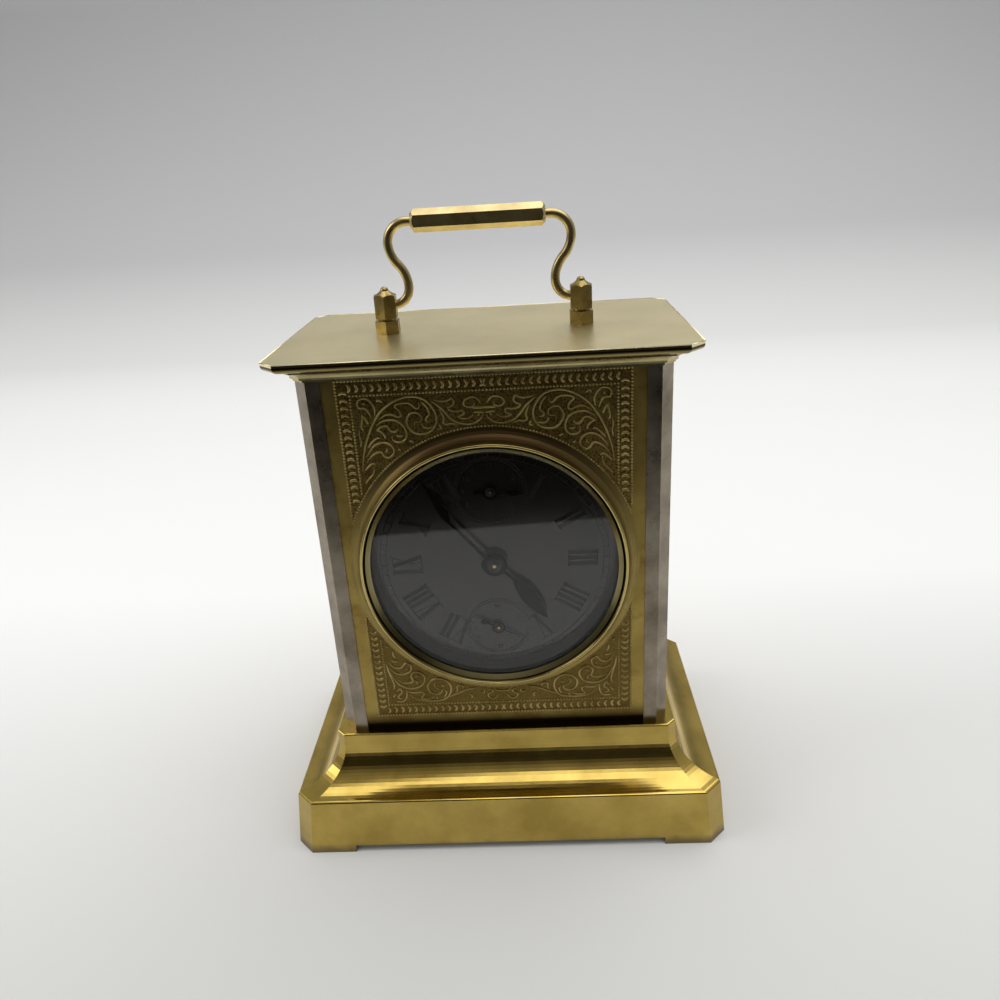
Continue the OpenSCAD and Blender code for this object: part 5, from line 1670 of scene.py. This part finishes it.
        # Painted shadow: the floor goes from ECECEC round the object to B4B4B2 at its front edge
        pale = self.matt("stage_pale", "B4B4B2", "ECECEC", self.wall_painted_light)
        self.board("stage_sweep", sweep, 3.0, pale)
        dark = ((0.0, self.room_floor), (1.0, self.room_floor))
        room = self.matt("stage_dark", self.room_floor, self.room_floor, dark, self.backdrop)
        self.board("stage_room_floor", [(-4.0, -0.45), (front, -0.45)], 3.0, room)

    def world(self) -> None:
        """Light the scene softly, with a pale wall behind and a dim room in front."""
        world = bpy.data.worlds.new("studio")
        bpy.context.scene.world = world
        world.use_nodes = True
        tree = world.node_tree
        tree.nodes.clear()
        parts = add_node(tree, "SeparateXYZ", {0: add_node(tree, "TexCoord").outputs["Generated"]}).outputs
        depth = {"Value": parts["Y"], "From Min": -0.55, "From Max": 0.35}
        back = add_node(tree, "MapRange", depth).outputs[0]
        walls = {0: back, 6: linear(self.room_front), 7: linear(self.room_back)}
        room = add_node(tree, "Mix", walls, data_type="RGBA").outputs[2]
        height = {"Value": parts["Z"], "From Min": 0.45, "From Max": 0.85}
        above = add_node(tree, "MapRange", height).outputs[0]
        ceiling = {0: above, 6: room, 7: linear(self.room_above)}
        seen = add_node(tree, "Mix", ceiling, data_type="RGBA").outputs[2]
        shown = add_node(tree, "Background", {"Color": seen, "Strength": 1.0}).outputs[0]
        soft = {"Color": linear(self.fill), "Strength": self.fill_strength}
        fill = add_node(tree, "Background", soft).outputs[0]
        path = add_node(tree, "LightPath").outputs
        rays = {0: path["Is Glossy Ray"], 1: path["Is Transmission Ray"]}
        looks = add_node(tree, "Math", rays, operation="MAXIMUM").outputs[0]
        mirrored = add_node(tree, "MixShader", {0: looks, 1: fill, 2: shown}).outputs[0]
        pale = add_node(tree, "Background", {"Color": linear(self.backdrop), "Strength": 1.0}).outputs[0]
        surface = add_node(tree, "MixShader", {0: path["Is Camera Ray"], 1: mirrored, 2: pale}).outputs[0]
        add_node(tree, "OutputWorld", {"Surface": surface})

    def lamps(self) -> None:
        """Hang a large soft lamp over the table and a smaller one to its left."""
        self.lamp("lamp_over", (0.2, 0.1, 1.0), (0.0, 0.0, 0.1), 1.15, 8.2)
        self.lamp("lamp_left", (-0.9, -0.1, 0.7), (-0.1, 0.0, 0.05), 0.6, 3.4)

    def lamp(self, name: str, at: Triple, towards: Triple, size: float, watts: float) -> None:
        """Hang one square area lamp that faces a point.

        Args:
            name: Name of the lamp.
            at: Its place, in metres.
            towards: Point that it faces.
            size: Side of the lamp, in metres.
            watts: Its power.
        """
        data = bpy.data.lights.new(name, "AREA")
        data.size = size
        data.energy = watts
        lamp = bpy.data.objects.new(name, data)
        lamp.location = at
        lamp.rotation_euler = (Vector(towards) - Vector(at)).to_track_quat("-Z", "Y").to_euler()
        bpy.context.scene.collection.objects.link(lamp)


# Assembly


@dataclass
class Finishes:
    """Every finish of the clock."""

    # Stamped sheet brass: a low sheen, dark in the punched ground and paler where it is plain
    pressed: Finish = PressedSheet(
        "stamped_brass", clean="AC9654", dull="8E783E", spot="5A4A22", roughness=(0.3, 0.4), patina_mm=18.0
    )
    # Raised brass that cloths have rubbed: lighter and warmer than the ground round it
    relief: Finish = AgedMetal(
        "rubbed_brass", clean="C4B078", dull="9A8650", spot="5E4E28", roughness=(0.28, 0.42), patina_mm=9.0
    )
    # Polished pressed brass: long streaks of light along the mouldings
    base: Finish = FootedSheet(
        "pressed_base_brass", clean="C0A65A", dull="A48C46", spot="6A5A30", roughness=(0.13, 0.2),
        patina_mm=16.0, grain=Grain.ALONG_X, grain_mm=0.3, grain_depth_mm=0.0015, spot_share=0.14,
    )
    # Satin gilt brass: a pale even sheen that blurs the handle's reflection, with its edge painted dark as
    # a reflection of the dim room
    top: Finish = EdgedPlate(
        "satin_gilt_brass", clean="ECDEB0", dull="E0D2A2", spot="BCAA74", roughness=(0.32, 0.36),
        patina_mm=30.0, grain=Grain.ALONG_X, grain_mm=0.2, grain_depth_mm=0.002, spot_share=0.05,
    )
    # Brass rubbed bare along a sharp edge and paler still as a painted highlight: a thin pale line
    arris: Finish = AgedMetal(
        "rubbed_and_painted_highlight_brass", clean="F8ECC4", dull="EADCAE", spot="C8B884", roughness=(0.2, 0.3),
        spot_share=0.05,
    )
    # Drawn brass moulding: grey-gold and a little dull
    cornice: Finish = AgedMetal(
        "cornice_brass", clean="C0B488", dull="A2966A", spot="524828", roughness=(0.24, 0.34)
    )
    # Spun brass: a crest rubbed bright and painted with a highlight, beside a brown, blurred flare
    bezel: Finish = SpunBezel("spun_bezel_brass", roughness=(0.2, 0.46), patina_mm=7.0)
    # Bent brass wire and filed bar: soft highlights, worn pale by hands
    handle: Finish = AgedMetal(
        "handle_brass", clean="CAB986", dull="AA9868", spot="665838", roughness=(0.26, 0.36),
        patina_mm=8.0, spot_share=0.2,
    )
    # Turned and filed posts: darker than the handle, as cloths miss them
    post: Finish = AgedMetal(
        "turned_post_brass", clean="A8945E", dull="7E6C40", spot="4A3E22", roughness=(0.24, 0.36),
        patina_mm=6.0,
    )
    # Drawn steel bar, brushed lengthwise: warm grey with blurred upright streaks
    pillar: Finish = AgedMetal(
        "brushed_pillar_steel", clean="9C9282", dull="766C5C", spot="4C4234", roughness=(0.24, 0.38),
        patina_mm=12.0, spot_mm=1.2, grain=Grain.ALONG_Z, grain_mm=0.22, spot_share=0.45,
    )
    # Rolled iron sheet: brown-grey and matt
    iron: Finish = AgedMetal(
        "sheet_iron", clean="6A5E58", dull="4C4440", spot="2E2824", roughness=(0.4, 0.6), patina_mm=9.0
    )
    # Ground and polished steel: cold grey with clear reflections
    steel: Finish = AgedMetal(
        "polished_steel", clean="B4B4B0", dull="96958F", spot="565048", roughness=(0.16, 0.28)
    )
    # Oxidised steel: nearly black, with a weak sheen
    hand: Finish = AgedMetal(
        "oxidised_hand_steel", clean="16151A", dull="0E0D10", spot="1E1814", roughness=(0.3, 0.45)
    )
    # Turned steel left dark: a dim ring of light on each collar
    collet: Finish = AgedMetal(
        "turned_collet_steel", clean="3C3A38", dull="2A2826", spot="1E1814", roughness=(0.25, 0.4)
    )
    # Cut and turned brass: yellow, with crisp highlights
    movement: Finish = AgedMetal(
        "cut_brass", clean="D8C286", dull="BCA466", spot="7A6636", roughness=(0.22, 0.34)
    )
    # Rolled brass plate, grained along its length: an even satin yellow
    plate: Finish = AgedMetal(
        "rolled_plate_brass", clean="CCB678", dull="B29A5C", spot="705C30", roughness=(0.26, 0.38),
        grain=Grain.ALONG_X, grain_mm=0.25, patina_mm=20.0,
    )
    # Sprayed paint: nearly black, smooth enough to mirror the window
    dial: Finish = Enamel("sprayed_dial_paint")
    # Printing ink: blacker and more matt than the paint under it
    ink: Finish = Enamel("dial_printing_ink", tone="060605", cloud="090807", roughness=0.45, ior=1.4)
    # Ground glass: clear, with a weaker reflection than plate glass
    glass: Finish = WindowGlass("ground_window_glass")

    def dress_case(self) -> None:
        """Give every CAD node that stays its finish."""
        pillars = [f"pillar_{depth}_{side}" for depth in ("front", "rear") for side in ("left", "right")]
        for finish, names in (
            (self.pressed, ("front_panel",)),
            (self.plate, ("side_panel_left", "side_panel_right", "rear_panel")),
            (self.base, ("base_moulding",)),
            (self.iron, ("bottom_plate",)),
            (self.pillar, pillars),
            (self.cornice, ("cornice",)),
            (self.top, ("top_plate",)),
            (self.bezel, ("bezel", "crystal_ring")),
            (self.glass, ("crystal",)),
            (self.post, ("handle_post_left", "handle_post_right", "handle_nuts")),
            (self.handle, ("handle_arm_left", "handle_arm_right", "handle_grip")),
            (self.dial, ("dial",)),
            (self.hand, ("hour_hand", "minute_hand", "seconds_hand", "alarm_hand")),
            (self.movement, WHEELS),
            (self.plate, PLATES),
            (self.steel, STEELWORK),
            (self.movement, BRASS_FITTINGS),
        ):
            dress(names, finish)


WHEELS = (
    "centre_wheel", "third_wheel", "fourth_wheel", "escape_wheel", "minute_wheel", "hour_wheel",
    "alarm_wheel", "cannon_pinion", "balance_wheel", "mainspring_barrel", "ratchet_wheel",
    "music_barrel", "music_cylinder", "governor_wheel",
)
PLATES = (
    "front_plate", "back_plate", "plate_pillars", "music_bedplate", "music_bridge", "governor_bracket",
)
STEELWORK = (
    "barrel_arbor", "click", "pallet_lever", "hairspring", "alarm_arbor", "release_rod",
    "music_comb", "governor_fly",
)
BRASS_FITTINGS = ("winding_key", "alarm_knob", "set_knob", "stop_knob", "music_key")


def main() -> None:
    """Build the pieces in order and dress the CAD nodes."""
    logging.basicConfig(level=logging.INFO, format="%(message)s")
    bpy.context.scene.view_settings.view_transform = "Standard"
    Studio().build()
    finishes = Finishes()
    finishes.dress_case()
    PressedOrnament().build(finishes.relief)
    ClockDial().build(finishes.ink)
    SlottedScrews().build(finishes.steel)
    for collet in COLLETS:
        collet.build(finishes.collet)
    for border in BORDERS:
        border.build(finishes.relief)
    TopArris().build(finishes.arris)


if __name__ == "__main__":
    main()
